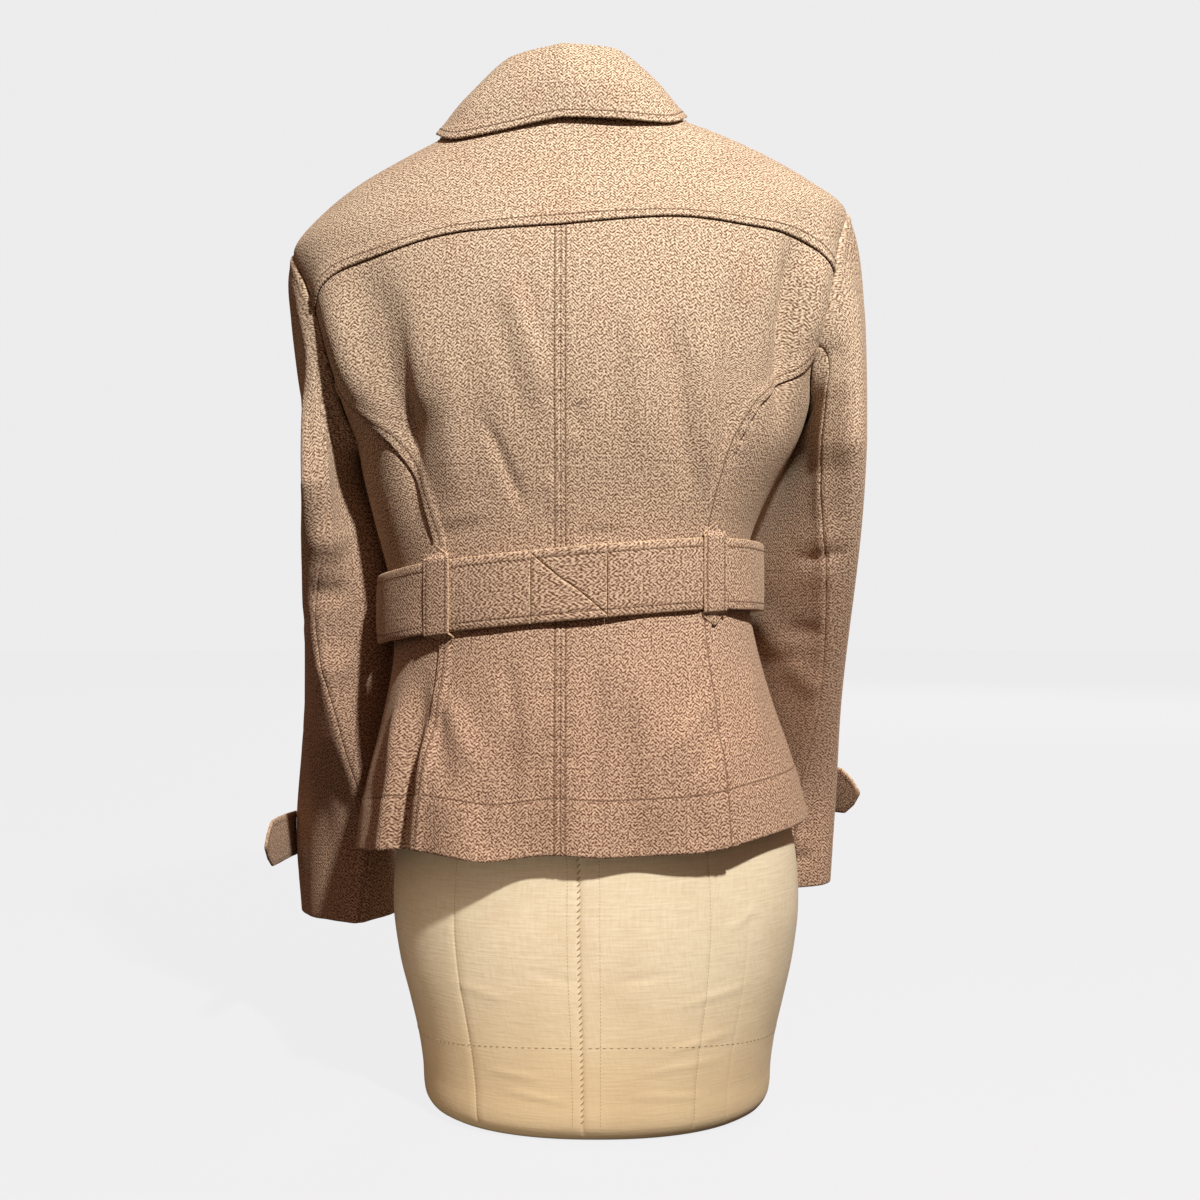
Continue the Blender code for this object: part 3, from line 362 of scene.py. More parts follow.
form_round = np.linalg.norm(np.diff(form_points, axis=1), axis=2).cumsum(1)
form_round = np.pad(form_round, ((0, 0), (1, 0)))
seam_depth = np.zeros(form_points.shape[:2])
for seam, depth in FORM_SEAMS:
    off = np.radians(form_angles - seam) * FORM_RADIUS
    welt = hump(np.abs(off) - SEAM_WELT_PLACE, SEAM_WELT)
    seam_depth += depth * hump(off, SEAM_GROOVE) - 0.5 * depth * welt
seam_depth *= smooth(0.002, 0.012, form_heights)[:, None]
at_back = form_points[:, :, 1] < 0
wrinkle = crease_rise(form_points[:, :, 0], form_points[:, :, 2], FORM_WRINKLES)
wrinkle = wrinkle * np.where(at_back, 1.0, 0.7)
form_points = form_points + form_outward(form_points) * (wrinkle - seam_depth)[..., None]
form_places = np.stack([form_round, np.broadcast_to(form_heights[:, None], form_round.shape)], -1)
form_faces = capped_faces(*form_points.shape[:2])
form_piece = mesh_piece("canvas_torso", form_points, form_faces, canvas, form_places)
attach(form_piece, "root")
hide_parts("form_torso")

STITCH_SIDES = 5
# One stitch: share of its length, share of its thickness, height in thicknesses
STITCH_SHAPE = [(0.0, 0.25, -0.6), (0.18, 0.85, 0.1), (0.5, 1.0, 0.5), (0.82, 0.85, 0.1), (1.0, 0.25, -0.6)]


def stitches(name, lines, material, length, gap, radius):
    """Rows of stitches, each a small spindle of thread on a line of points with outward directions."""
    place_along, thickness, lift = np.array(STITCH_SHAPE).T
    around = np.arange(STITCH_SIDES) * 2 * np.pi / STITCH_SIDES
    one_stitch = capped_faces(len(STITCH_SHAPE), STITCH_SIDES)
    points, faces = [], []
    for line, outward in lines:
        line, outward = np.asarray(line, float), np.asarray(outward, float)
        run = np.pad(np.linalg.norm(np.diff(line, axis=0), axis=1).cumsum(), (1, 0))
        for start in np.arange(gap, run[-1] - length, length + gap):
            along = start + place_along * length
            spine = np.stack([np.interp(along, run, line[:, axis]) for axis in range(3)], -1)
            up = unit(np.stack([np.interp(along, run, outward[:, axis]) for axis in range(3)], -1))
            ahead = unit(spine[-1:] - spine[:1])
            aside = unit(np.cross(ahead, up))
            middle = spine + up * (lift * radius)[:, None]
            ring = np.cos(around)[:, None] * aside[:, None] + np.sin(around)[:, None] * up[:, None]
            first = len(points) * len(STITCH_SHAPE) * STITCH_SIDES
            points.append(middle[:, None] + ring * (thickness * radius)[:, None, None])
            faces += [[first + corner for corner in face] for face in one_stitch]
    return mesh_piece(name, np.concatenate(points), faces, material)


def speckled_material(name, roughness, sheen, specular, grain, dark, pale):
    """Material that fine noise mottles between two colours."""
    made, tree, surface = new_material(name, roughness, sheen, specular)
    tone = noise_node(tree, object_place(tree), grain)
    tree.links.new(colour_mix(tree, tone, dark, pale), surface.inputs["Base Color"])
    return made, tree, surface


FORM_THREAD_DARK, FORM_THREAD_PALE = (0.20, 0.14, 0.085, 1), (0.46, 0.35, 0.22, 1)
FORM_STITCH_LOW, FORM_STITCH_TOP = 0.012, 0.30
# Hand stitches that slant over the centre seam: first height, spacing, rise and reach to each side
OVERCAST_LOW, OVERCAST_STEP, OVERCAST_RISE, OVERCAST_REACH = 0.014, 0.0046, 0.0052, 0.0026
# Stitches of the cover: length, gap, radius
HAND_STITCH = (0.0058, 0.0002, 0.00042)
MACHINE_STITCH = (0.0019, 0.0007, 0.00018)
CROSS_STITCH = (0.0030, 0.0022, 0.00032)
OVERCAST_LIFT = 0.0003
MACHINE_ROW_SHIFT = 0.0072
MACHINE_SEAMS = [-38.5, 29.5, 146.0, 214.0, -90.0, 90.0]
CROSS_SEAM_HEIGHT, CROSS_SEAM_WAVE = 0.066, 0.006
# Spans of the cross seam on both sides of the centre seam: first and last angle
CROSS_SEAM_SPANS = [(-88, -4.5), (-2.0, 88)]
thread, _, _ = speckled_material("form_thread", 0.75, 0.1, 0.3, 400.0, FORM_THREAD_DARK, FORM_THREAD_PALE)


def form_place(angle, height):
    """Points of the form's cover at heights up one angle."""
    column = int(np.abs(form_angles - angle).argmin())
    return np.stack([np.interp(height, form_heights, form_points[:, column, axis]) for axis in range(3)], -1)


def form_line(angle):
    """Line up the form's cover at one angle, with its outward directions."""
    picked = form_place(angle, np.linspace(FORM_STITCH_LOW, FORM_STITCH_TOP, 120))
    return picked, form_outward(picked)


def cross_seam(low_angle, high_angle):
    """Line round part of the form's cover, with its outward directions."""
    angles = np.linspace(low_angle, high_angle, 90)
    heights = CROSS_SEAM_HEIGHT + CROSS_SEAM_WAVE * np.cos(np.radians(angles * 2.0))
    picked = np.array([form_place(angle, height) for angle, height in zip(angles, heights)])
    return picked, form_outward(picked)


centre_line, centre_out = form_line(FORM_CENTRE_SEAM)
overcast = []
for low in np.arange(OVERCAST_LOW, FORM_STITCH_TOP - 0.01, OVERCAST_STEP):
    heights = np.array([low, low + OVERCAST_RISE])
    middle, out = (np.stack([np.interp(heights, centre_line[:, 2], line[:, axis]) for axis in range(3)], -1)
                   for line in (centre_line, centre_out))
    middle[:, 0] += (-OVERCAST_REACH, OVERCAST_REACH)
    overcast.append((middle + out * OVERCAST_LIFT, out))
hand_seam = stitches("canvas_hand_seam", overcast, thread, *HAND_STITCH)
beside_centre = np.degrees(MACHINE_ROW_SHIFT / FORM_RADIUS)
machine_angles = [FORM_CENTRE_SEAM - beside_centre, FORM_CENTRE_SEAM + beside_centre] + MACHINE_SEAMS
machine_lines = [form_line(angle) for angle in machine_angles]
machine_seams = stitches("canvas_machine_seams", machine_lines, thread, *MACHINE_STITCH)
cross_lines = [cross_seam(*span) for span in CROSS_SEAM_SPANS]
cross_seams = stitches("canvas_cross_seam", cross_lines, thread, *CROSS_STITCH)
for rows_of_thread in (hand_seam, machine_seams, cross_seams):
    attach(rows_of_thread, "root")

# Neck cap: a turned wooden disc that closes the form's neck, with a bead round its rim and a shallow dish.
# It is varnished brown wood, set on the canvas just above the collar's stand.
# Cap profile: share of the neck's size, height
CAP_PROFILE = [
    (0.970, 0.0000), (1.000, 0.0012), (1.000, 0.0036), (0.965, 0.0050), (0.900, 0.0050), (0.870, 0.0043),
    (0.600, 0.0041), (0.200, 0.0040),
]
CAP_GAP = 0.0003
WOOD_DARK, WOOD_PALE = (0.12, 0.056, 0.024, 1), (0.25, 0.125, 0.052, 1)
WOOD_GRAIN = (220.0, 12.0, 12.0)
cap_base, cap_across, cap_half, cap_back, cap_front = FORM_NECK[-1]
cap_angles = np.linspace(0, 360, 96, endpoint=False)
cap_rings = []
for size, up in CAP_PROFILE:
    row = (cap_base + CAP_GAP + up, cap_across, cap_half * size, cap_back * size, cap_front * size)
    cap_rings.append(form_ring(row, cap_angles))
cap_faces = capped_faces(len(CAP_PROFILE), len(cap_angles))
wood, tree, surface = new_material("varnished_wood", 0.35, 0.0, 0.5)
grain = noise_node(tree, drawn_out(tree, object_place(tree), WOOD_GRAIN), 3.0, 6.0)
figure = colour_mix(tree, range_node(tree, grain, 0.30, 0.70), WOOD_DARK, WOOD_PALE)
tree.links.new(figure, surface.inputs["Base Color"])
tree.links.new(range_node(tree, grain, 0.3, 0.7, 0.28, 0.45), surface.inputs["Roughness"])
cap_piece = mesh_piece("wooden_neck_cap", np.stack(cap_rings), cap_faces, wood)
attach(cap_piece, "root")
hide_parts("form_neck_cap")

# Backs: two panels of herringbone tweed, seamed at the centre back and topstitched on both sides of the seam.
# Each laps over the side panel, is eased into the armhole, and ends in a deep hem turned up and stitched.
CENTRE_BACK = -0.0047
LEFT, RIGHT = -1, 1
SIDES = ((LEFT, "left"), (RIGHT, "right"))
# Largest folds of the body: angle and height at both ends, half width as an angle, rise
FOLDS = [
    (-41, 0.690, -46, 0.440, 6.5, -0.0075), (-57, 0.690, -55, 0.500, 8, 0.0110),
    (-32, 0.680, -33, 0.450, 7, 0.0030), (50, 0.690, 54, 0.500, 5.5, -0.0060),
    (62, 0.700, 62, 0.520, 8, 0.0060), (-38, 0.330, -26, 0.205, 10, 0.0075),
    (-14, 0.330, -9, 0.205, 7, -0.0045), (12, 0.345, 11, 0.205, 8, -0.0050),
    (30, 0.320, 34, 0.205, 11, 0.0060), (-62, 0.320, -58, 0.205, 10, -0.0060),
    (140, 0.310, 138, 0.205, 12, 0.0060), (-140, 0.320, -143, 0.205, 12, 0.0055),
]
# Smaller creases seen from the back: across and height of both ends, half width, rise
BACK_CREASES = [
    (-0.045, 0.650, -0.009, 0.515, 0.0090, 0.0018), (-0.034, 0.640, -0.013, 0.570, 0.0060, -0.0013),
    (-0.058, 0.630, -0.028, 0.515, 0.0080, -0.0016), (-0.063, 0.540, -0.027, 0.455, 0.0051, -0.0026),
    (-0.087, 0.600, -0.081, 0.461, 0.0109, 0.0024), (0.042, 0.601, 0.026, 0.526, 0.0058, -0.0016),
    (0.007, 0.542, 0.007, 0.513, 0.0065, -0.0016), (0.054, 0.611, 0.053, 0.487, 0.0095, 0.0020),
    (0.076, 0.605, 0.089, 0.459, 0.0080, -0.0042), (0.102, 0.600, 0.102, 0.454, 0.0070, 0.0026),
    (0.124, 0.640, 0.116, 0.470, 0.0070, -0.0036), (0.001, 0.444, 0.046, 0.441, 0.0044, -0.0015),
    (-0.015, 0.492, -0.005, 0.455, 0.0058, 0.0014), (-0.146, 0.640, -0.136, 0.520, 0.0080, 0.0030),
    (-0.126, 0.640, -0.110, 0.444, 0.0060, -0.0025), (0.168, 0.665, 0.160, 0.500, 0.0060, -0.0075),
    (0.186, 0.650, 0.184, 0.560, 0.0090, 0.0040), (-0.111, 0.450, -0.049, 0.457, 0.0058, -0.0009),
    (-0.100, 0.462, -0.053, 0.468, 0.0058, 0.0008), (-0.093, 0.341, -0.062, 0.274, 0.0080, 0.0032),
    (-0.104, 0.358, -0.139, 0.130, 0.0060, -0.0085), (-0.119, 0.356, -0.152, 0.130, 0.0080, 0.0105),
    (-0.094, 0.350, -0.118, 0.130, 0.0080, 0.0030), (-0.101, 0.332, -0.079, 0.254, 0.0073, -0.0030),
    (0.024, 0.366, 0.018, 0.209, 0.0080, -0.0034), (0.053, 0.356, 0.062, 0.209, 0.0102, 0.0026),
    (0.112, 0.324, 0.067, 0.274, 0.0073, 0.0024), (0.117, 0.304, 0.083, 0.251, 0.0065, -0.0020),
    (-0.045, 0.362, -0.037, 0.301, 0.0065, -0.0020), (0.134, 0.343, 0.147, 0.262, 0.0065, 0.0020),
    (-0.027, 0.333, -0.033, 0.217, 0.0080, 0.0022), (0.089, 0.259, 0.096, 0.203, 0.0073, -0.0020),
    (-0.062, 0.271, -0.056, 0.210, 0.0073, -0.0024),
]
# Smaller creases of the fronts: across and height of both ends, half width, rise
FRONT_CREASES = [
    (-0.120, 0.560, -0.060, 0.440, 0.0100, 0.0022), (-0.145, 0.530, -0.090, 0.440, 0.0090, -0.0020),
    (0.130, 0.560, 0.070, 0.445, 0.0100, 0.0022), (0.150, 0.520, 0.100, 0.440, 0.0080, -0.0020),
    (-0.150, 0.640, -0.120, 0.560, 0.0090, -0.0025), (0.158, 0.640, 0.125, 0.565, 0.0090, -0.0022),
    (-0.060, 0.360, -0.075, 0.230, 0.0110, 0.0022), (-0.105, 0.350, -0.120, 0.240, 0.0090, -0.0022),
    (0.070, 0.362, 0.082, 0.225, 0.0110, 0.0024), (0.110, 0.350, 0.128, 0.235, 0.0090, -0.0020),
    (-0.030, 0.452, 0.040, 0.447, 0.0060, -0.0012), (0.020, 0.540, 0.090, 0.580, 0.0080, 0.0012),
]
# Dimples that the seams' thread draws in: across, height, half width, sink
SEAM_PUCKERS = [
    (-0.012, 0.360, 0.0060, 0.0012), (-0.010, 0.346, 0.0050, 0.0010), (-0.013, 0.331, 0.0060, 0.0013),
    (-0.010, 0.316, 0.0050, 0.0011), (-0.012, 0.298, 0.0060, 0.0014), (0.002, 0.305, 0.0050, 0.0010),
    (0.003, 0.283, 0.0060, 0.0012), (-0.011, 0.281, 0.0050, 0.0009), (0.148, 0.545, 0.0045, 0.0010),
    (0.141, 0.532, 0.0045, 0.0011), (0.136, 0.520, 0.0045, 0.0010), (0.129, 0.507, 0.0045, 0.0010),
    (0.125, 0.494, 0.0045, 0.0008), (-0.014, 0.545, 0.0050, 0.0007), (0.004, 0.500, 0.0050, 0.0007),
]
# Hem: angle from the centre back, height
HEM = [
    (-200, 0.2115), (-110, 0.2125), (-80, 0.2145), (-60, 0.2190), (-41, 0.2225), (-29, 0.2185),
    (-20, 0.2140), (-5, 0.2155), (4, 0.2110), (17, 0.2090), (28, 0.2080), (41, 0.2105), (70, 0.2125),
    (110, 0.2120), (200, 0.2115),
]
# Yoke seam: share of the way from the centre back to the armhole, height
YOKE_SEAM = [
    (0.0, 0.6725), (0.33, 0.6735), (0.47, 0.6718), (0.65, 0.6655), (0.84, 0.6580), (0.92, 0.6490),
    (1.0, 0.6323),
]
# Side-back seam: height, distance from the body's centre, its shift to the right
SIDE_BACK_SEAM = [
    (0.205, 0.1180, 0.003), (0.260, 0.1130, 0.005), (0.310, 0.1070, 0.006), (0.360, 0.1010, 0.006),
    (0.407, 0.0990, 0.006), (0.450, 0.1050, 0.005), (0.490, 0.1175, 0.004), (0.515, 0.1300, 0.003),
    (0.544, 0.1500, 0.003), (0.562, 0.1660, 0.003), (0.577, 0.1800, 0.004),
]
ARMHOLE_MIDDLE, ARMHOLE_HALF_HEIGHT = 0.6100, 0.0780
ARMHOLE_BACK_REACH, ARMHOLE_FRONT_REACH = 25.0, 33.0
SIDE_SEAM_ANGLE = 100.0
# Heights of the rows of a panel, from the hem to the armhole
SIDE_ROWS = [0.0, 0.245, 0.280, 0.315, 0.345, 0.3695, 0.408, 0.4465, 0.475, 0.505, 0.535, 0.557, 0.577]
SIDE_TOP = SIDE_ROWS[-1]
HEM_DEPTH = 0.041
HEM_FOLD = 0.0014
CENTRE_STITCH = 0.0040
LAP_STITCH = 0.0062
LAP_RISE = 0.0020
TWEED_PALE = (0.81, 0.675, 0.50, 1)
TWEED_DARK = (0.165, 0.074, 0.041, 1)
TWEED_WARM = (0.87, 0.73, 0.70, 1)
# Colour of the painted shade laid along rows of stitching
STITCH_SHADE = (0.115, 0.058, 0.034, 1)
# Pale tone of cut edges: partly wear, partly a painted highlight
WORN_HIGHLIT_EDGE_TONE = (0.70, 0.50, 0.31, 1)
NAP_TINT = (1.0, 0.82, 0.62, 1)
THREAD_DARK, THREAD_PALE = (0.13, 0.070, 0.040, 1), (0.34, 0.21, 0.12, 1)
RIB_WIDTH, TWILL_STEP = 0.0042, 0.0027
# Heights between which the cloth turns from a darker, warmer tone at the hem to a paler one at the shoulders
TINT_LOW, TINT_HIGH = 0.27, 0.68
# Distance to stitching that stands for no stitching nearby, so no painted stitch shade
NO_ROW = 0.1

tweed_group, given, result = new_group(
    "herringbone_tweed", [("Place", "Vector"), ("Space", "Vector"), ("Pale yarn", "Color"),
                          ("Dark yarn", "Color"), ("Warm tint", "Color"), ("Rib", "Float"),
                          ("Twill", "Float")],
    [("Color", "Color"), ("Height", "Float")])
split = parts_of(tweed_group, given["Place"])
uneven = noise_node(tweed_group, given["Place"], 380.0, 2.0)
fibre = range_node(tweed_group, noise_node(tweed_group, given["Place"], 600.0, 1.0), 0.36, 0.64)
zigzag = math_node(tweed_group, "PINGPONG", split["X"], given["Rib"])
climb = math_node(tweed_group, "ADD", split["Y"], zigzag)
climb = math_node(tweed_group, "ADD", climb, math_node(tweed_group, "MULTIPLY", uneven, 0.0022))
line_place = math_node(tweed_group, "DIVIDE", climb, given["Twill"])
ridge = math_node(tweed_group, "MULTIPLY", math_node(tweed_group, "PINGPONG", line_place, 0.5), 2.0)
yarn = math_node(tweed_group, "ADD", math_node(tweed_group, "MULTIPLY", ridge, 0.60),
                 math_node(tweed_group, "MULTIPLY", fibre, 0.60))
pale_share = range_node(tweed_group, yarn, 0.10, 1.10)
woven = colour_mix(tweed_group, pale_share, given["Dark yarn"], given["Pale yarn"])
patch = range_node(tweed_group, noise_node(tweed_group, given["Space"], 26.0, 3.0), 0.44, 0.70)
# Darker and warmer towards the hem, set by height alone
low_on_jacket = range_node(tweed_group, parts_of(tweed_group, given["Space"])["Z"], TINT_LOW, TINT_HIGH, 0.95, 0.0)
warmth = math_node(tweed_group, "MAXIMUM", low_on_jacket, math_node(tweed_group, "MULTIPLY", patch, 0.3))
tinted = colour_mix(tweed_group, warmth, woven, given["Warm tint"], "MULTIPLY")
tweed_group.links.new(tinted, result.inputs["Color"])
tweed_group.links.new(pale_share, result.inputs["Height"])


def tweed_material(name, worn_highlit_amount):
    """Tweed whose cut edges are paler, partly as wear and partly as a painted highlight, with painted shade
    along its rows of stitching.
    """
    made, tree, surface = new_material(name, 0.92, 0.22, 0.15)
    woven = use_group(tree, tweed_group, {
        "Place": uv_place(tree, "Cloth"), "Space": object_place(tree), "Pale yarn": TWEED_PALE,
        "Dark yarn": TWEED_DARK, "Warm tint": TWEED_WARM, "Rib": RIB_WIDTH, "Twill": TWILL_STEP}).outputs
    edge = parts_of(tree, uv_place(tree, "Edge"))
    # Cut edges turn pale: partly wear, partly a painted highlight
    worn_highlit_edge = range_node(tree, edge["X"], 0.0, 0.0016, worn_highlit_amount, 0.0)
    worn_highlit_colour = colour_mix(tree, worn_highlit_edge, woven["Color"], WORN_HIGHLIT_EDGE_TONE)
    # Painted shade: the cloth is darkened along its rows of stitching
    stitch_row_shade = range_node(tree, math_node(tree, "ABSOLUTE", edge["Y"]), 0.0003, 0.0012, 0.50, 0.0)
    tree.links.new(colour_mix(tree, stitch_row_shade, worn_highlit_colour, STITCH_SHADE), surface.inputs["Base Color"])
    surface.inputs["Sheen Tint"].default_value = NAP_TINT
    bump(tree, surface, woven["Height"], 0.0002)
    return made


tweed = tweed_material("herringbone_tweed", 0.0)
# Tweed for the belt, tabs and loops, whose pale edges are partly wear and partly a painted highlight
edged_tweed = tweed_material("tweed_with_worn_highlit_edges", 0.45)
thread_tan, _, _ = speckled_material("tan_thread", 0.7, 0.1, 0.3, 500.0, THREAD_DARK, THREAD_PALE)


def fold_rise(angle, height):
    """How far the largest folds push the cloth out."""
    rise = np.zeros(np.shape(angle))
    for top_angle, top_height, low_angle, low_height, half_width, size in FOLDS:
        share = (top_height - height) / (top_height - low_height)
        middle = mix(top_angle, low_angle, share)
        fade = smooth(0.0, 0.45, share)
        if low_height > 0.3:
            fade = fade * (1 - smooth(0.55, 1.0, share))
        rise += np.where(height < low_height - 0.05, 0.0, size * fade * hump(angle - middle, half_width))
    return rise


def level_place(points):
    """Across and height of points, measured on the jacket as if it hung level."""
    across = points[..., 0] - BODY_X
    return across, points[..., 2] - HANG_TILT * across


def body_creases(angle, height, points):
    """Rise of the folds, the smaller creases and the seams' puckers at places on the body."""
    across, up = level_place(points)
    behind = 1 - smooth(84, 104, np.abs(angle))
    rise = fold_rise(angle, height) + behind * crease_rise(across, up, BACK_CREASES)
    for pucker_x, pucker_z, half_width, sink in SEAM_PUCKERS:
        rise -= behind * sink * hump(np.hypot(across - pucker_x, (up - pucker_z) * 1.3), half_width)
    return rise + (1 - behind) * crease_rise(across, up, FRONT_CREASES)


def angle_at(across, height):
    """Angle on the back half where the body is this far from its centre line."""
    shift, half_width, back, front = columns_of(BODY, height)
    ratio = np.minimum(np.abs(across - shift) / half_width, 1.0)
    return np.sign(across - shift) * np.degrees(np.arcsin(ratio ** (ROUNDNESS / 2)))


def armhole(side, turn):
    """Angle and height at a place round the armhole: turn 0 at the shoulder, 90 at the back."""
    across = np.sin(np.radians(turn))
    reach = np.where(across > 0, ARMHOLE_BACK_REACH, ARMHOLE_FRONT_REACH)
    return np.stack([side * (90 - reach * across),
                     ARMHOLE_MIDDLE + ARMHOLE_HALF_HEIGHT * np.cos(np.radians(turn))], -1)


def armhole_turn(height):
    return np.degrees(np.arccos((height - ARMHOLE_MIDDLE) / ARMHOLE_HALF_HEIGHT))


YOKE_TURN = armhole_turn(YOKE_SEAM[-1][1])
SIDE_BACK_TURN = armhole_turn(SIDE_TOP)
SIDE_SEAM_TURN = 180 + np.degrees(np.arcsin((SIDE_SEAM_ANGLE - 90) / ARMHOLE_FRONT_REACH))


def side_back_seam(side, height):
    """Seam from the hem to the armhole, meeting the armhole's own point at its top."""
    across, shift = columns_of(SIDE_BACK_SEAM, height)
    top = armhole(side, SIDE_BACK_TURN)[0]
    angle = mix(angle_at(side * across + shift, height), top, smooth(0.530, SIDE_TOP, height))
    return np.stack([angle, height], -1)


def yoke_seam(side, share):
    height = read_table(YOKE_SEAM, share)
    stop_angle = armhole(side, YOKE_TURN)[0]
    shift, half_width, back, front = columns_of(BODY, height)
    stop = shift + half_width * side * np.abs(np.sin(np.radians(stop_angle))) ** (2 / ROUNDNESS)
    angle = angle_at(mix(CENTRE_BACK, stop, share), height)
    return np.stack([np.where(share > 0.999, stop_angle, angle), height], -1)


def by_row(values, row):
    """Value between the numbered entries of a list."""
    return np.interp(row, np.arange(len(values)), values)


def from_hem(line, heights):
    """Heights of a line's rows, the first of them on the hem."""
    foot = float(line(np.array([0.215]))[0, 0])
    return [float(read_table(HEM, foot))] + list(heights[1:])


def fill(bottom, top, left, right, over, up):
    """Angles and heights inside four edges of a panel."""
    over, up = over[None, :, None], up[:, None, None]
    sides = mix(left[:, None], right[:, None], over)
    ends = mix(bottom[None], top[None], up)
    corners = mix(mix(bottom[0], bottom[-1], over), mix(top[0], top[-1], over), up)
    return sides + ends - corners


def shares(count):
    """Even shares of a width, with more of them close to both ends for a rounded edge."""
    even = np.linspace(0, 1, count + 1)
    close = np.array([0.10, 0.22, 0.45]) / count
    return np.concatenate([[0], close, even[1:-1], 1 - close[::-1], [1]])


def edge_distances(points):
    """Distances over the cloth from a grid's points to its first and last columns and rows."""
    across = np.pad(np.linalg.norm(np.diff(points, axis=1), axis=2).cumsum(1), ((0, 0), (1, 0)))
    along = np.pad(np.linalg.norm(np.diff(points, axis=0), axis=2).cumsum(0), ((1, 0), (0, 0)))
    return across, across[:, -1:] - across, along, along[-1:] - along


def nearest_row(*distances):
    """Whichever of the distances to rows of stitching is nearest to nothing."""
    every = np.stack(np.broadcast_arrays(*distances))
    return np.take_along_axis(every, np.abs(every).argmin(0)[None], 0)[0]


def shell(name, points, normals, rise, thickness, places, material=tweed, row=NO_ROW):
    """Thin closed cloth with round edges. rise moves its outer face out, row is how far its stitching is,
    which sets the painted shade along it.
    """
    edges = np.minimum.reduce(edge_distances(points))
    radius = thickness / 2
    inside = np.clip(1 - edges / radius, 0, 0.97)
    fall = radius * (1 - np.sqrt(1 - inside ** 2))
    outer = points + normals * (rise - fall)[..., None]
    inner = points + normals * (rise - thickness + fall)[..., None]
    rows, columns = points.shape[:2]
    faces = grid_faces(rows, columns)
    first = outer.reshape(-1, 3)[faces[len(faces) // 2]]
    facing = np.dot(np.cross(first[1] - first[0], first[2] - first[0]),
                    normals.reshape(-1, 3)[faces[len(faces) // 2][0]])
    index = np.arange(rows * columns).reshape(rows, columns)
    rim = np.concatenate([index[0, :-1], index[:-1, -1], index[-1, :0:-1], index[:0:-1, 0]])
    after = np.roll(rim, -1)
    walls = np.stack([after, rim, rim + rows * columns, after + rows * columns], -1)
    every = np.concatenate([faces, faces[:, ::-1] + rows * columns, walls])
    if facing < 0:
        every = every[:, ::-1]
    both_places = np.concatenate([places.reshape(-1, 2)] * 2)
    edge_pair = np.stack(np.broadcast_arrays(edges, row), -1).reshape(-1, 2)
    piece = mesh_piece(name, np.concatenate([outer.reshape(-1, 3), inner.reshape(-1, 3)]), every, material,
                       both_places, np.concatenate([edge_pair] * 2))
    return piece, outer


def sew(piece, node, points, with_pieces=()):
    """Fixes a cloth piece and its stitching to the frame, and hides the part it replaces."""
    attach(piece, "root")
    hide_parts(node)
    for rows_of_thread in with_pieces:
        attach(rows_of_thread, "root")
    across, _, along, _ = edge_distances(points)


def line_at(outer, normals, distance, value, by_column=False):
    """Line over a cloth grid at one distance from an edge, with its outward directions."""
    if by_column:
        outer, normals, distance = outer.swapaxes(0, 1), normals.swapaxes(0, 1), distance.swapaxes(0, 1)
    if distance[0, 0] > distance[0, -1]:
        outer, normals, distance = outer[:, ::-1], normals[:, ::-1], distance[:, ::-1]
    picked = [[np.interp(value, row, grid[number, :, axis]) for axis in range(3)]
              for grid in (outer, normals) for number, row in enumerate(distance)]
    return np.array(picked[:len(outer)]), np.array(picked[len(outer):])


def lap_edge(distance):
    """Rise of a lapped and topstitched edge over the cloth beneath it."""
    return LAP_RISE * (1 - smooth(0.0075, 0.0125, distance)) - 0.0009 * hump(distance - LAP_STITCH, 0.0014)


def open_seam(distance, stitch=CENTRE_STITCH):
    """Rise beside a seam that is pressed open and topstitched."""
    return (-0.0004 * hump(distance, 0.0010) + 0.0003 * hump(distance - 0.0020, 0.0012)
            - 0.0009 * hump(distance - stitch, 0.0013))


def under_edge(distance):
    """Sink of a cloth edge that lies beneath a lap, or is drawn into a plain seam."""
    return -0.0009 * hump(distance, 0.0016)


def hem_relief(distance):
    """Rise of the turned-up hem, drawn in along its stitching."""
    doubled = 1 - smooth(HEM_DEPTH, HEM_DEPTH + 0.003, distance)
    return 0.0007 * doubled - 0.0008 * hump(distance - HEM_DEPTH, 0.0015)


def turned_up(distance, depth):
    """Thickness of cloth whose edge is turned up to a depth."""
    return CLOTH + HEM_FOLD * (1 - smooth(depth - 0.001, depth + 0.001, distance))


def hem_line(angles):
    return np.stack([angles, read_table(HEM, angles)], -1)


def on_body(place):
    """Angles and heights of a panel's places, their points on the body and the directions out."""
    angle, height = place[..., 0], place[..., 1]
    return angle, height, hang(bare_body(angle, height)), body_normal(angle, height)


# Topstitching of the jacket: length, gap, radius
TOPSTITCH = (0.0026, 0.0009, 0.00042)


def topstitch(name, lines):
    return stitches(name, lines, thread_tan, *TOPSTITCH)


BACK_ROWS, BACK_COLUMNS = 16, 8
# Squares of a panel's grid, across and up
BACK_GRID = (74, 170)
centre_rows = SIDE_ROWS[:8] + list(np.linspace(SIDE_ROWS[7], YOKE_SEAM[0][1], 10)[1:])
back_turns = np.linspace(SIDE_BACK_TURN, YOKE_TURN, 5)


def side_edge(side, row):
    """Outer edge of a back panel: up the side-back seam, then up the armhole."""
    heights = from_hem(lambda height: side_back_seam(side, height), SIDE_ROWS)
    last = len(SIDE_ROWS) - 1
    seam = side_back_seam(side, by_row(heights, np.minimum(row, last)))
    above = armhole(side, by_row(back_turns, np.maximum(row - last, 0)))
    return np.where((row > last - 1e-6)[:, None], above, seam)


def centre_edge(row):
    """Inner edge of a back panel, up the centre back seam."""
    def line(height):
        return np.stack([angle_at(np.full(np.shape(height), CENTRE_BACK), height), height], -1)
    return line(by_row(from_hem(line, centre_rows), row))


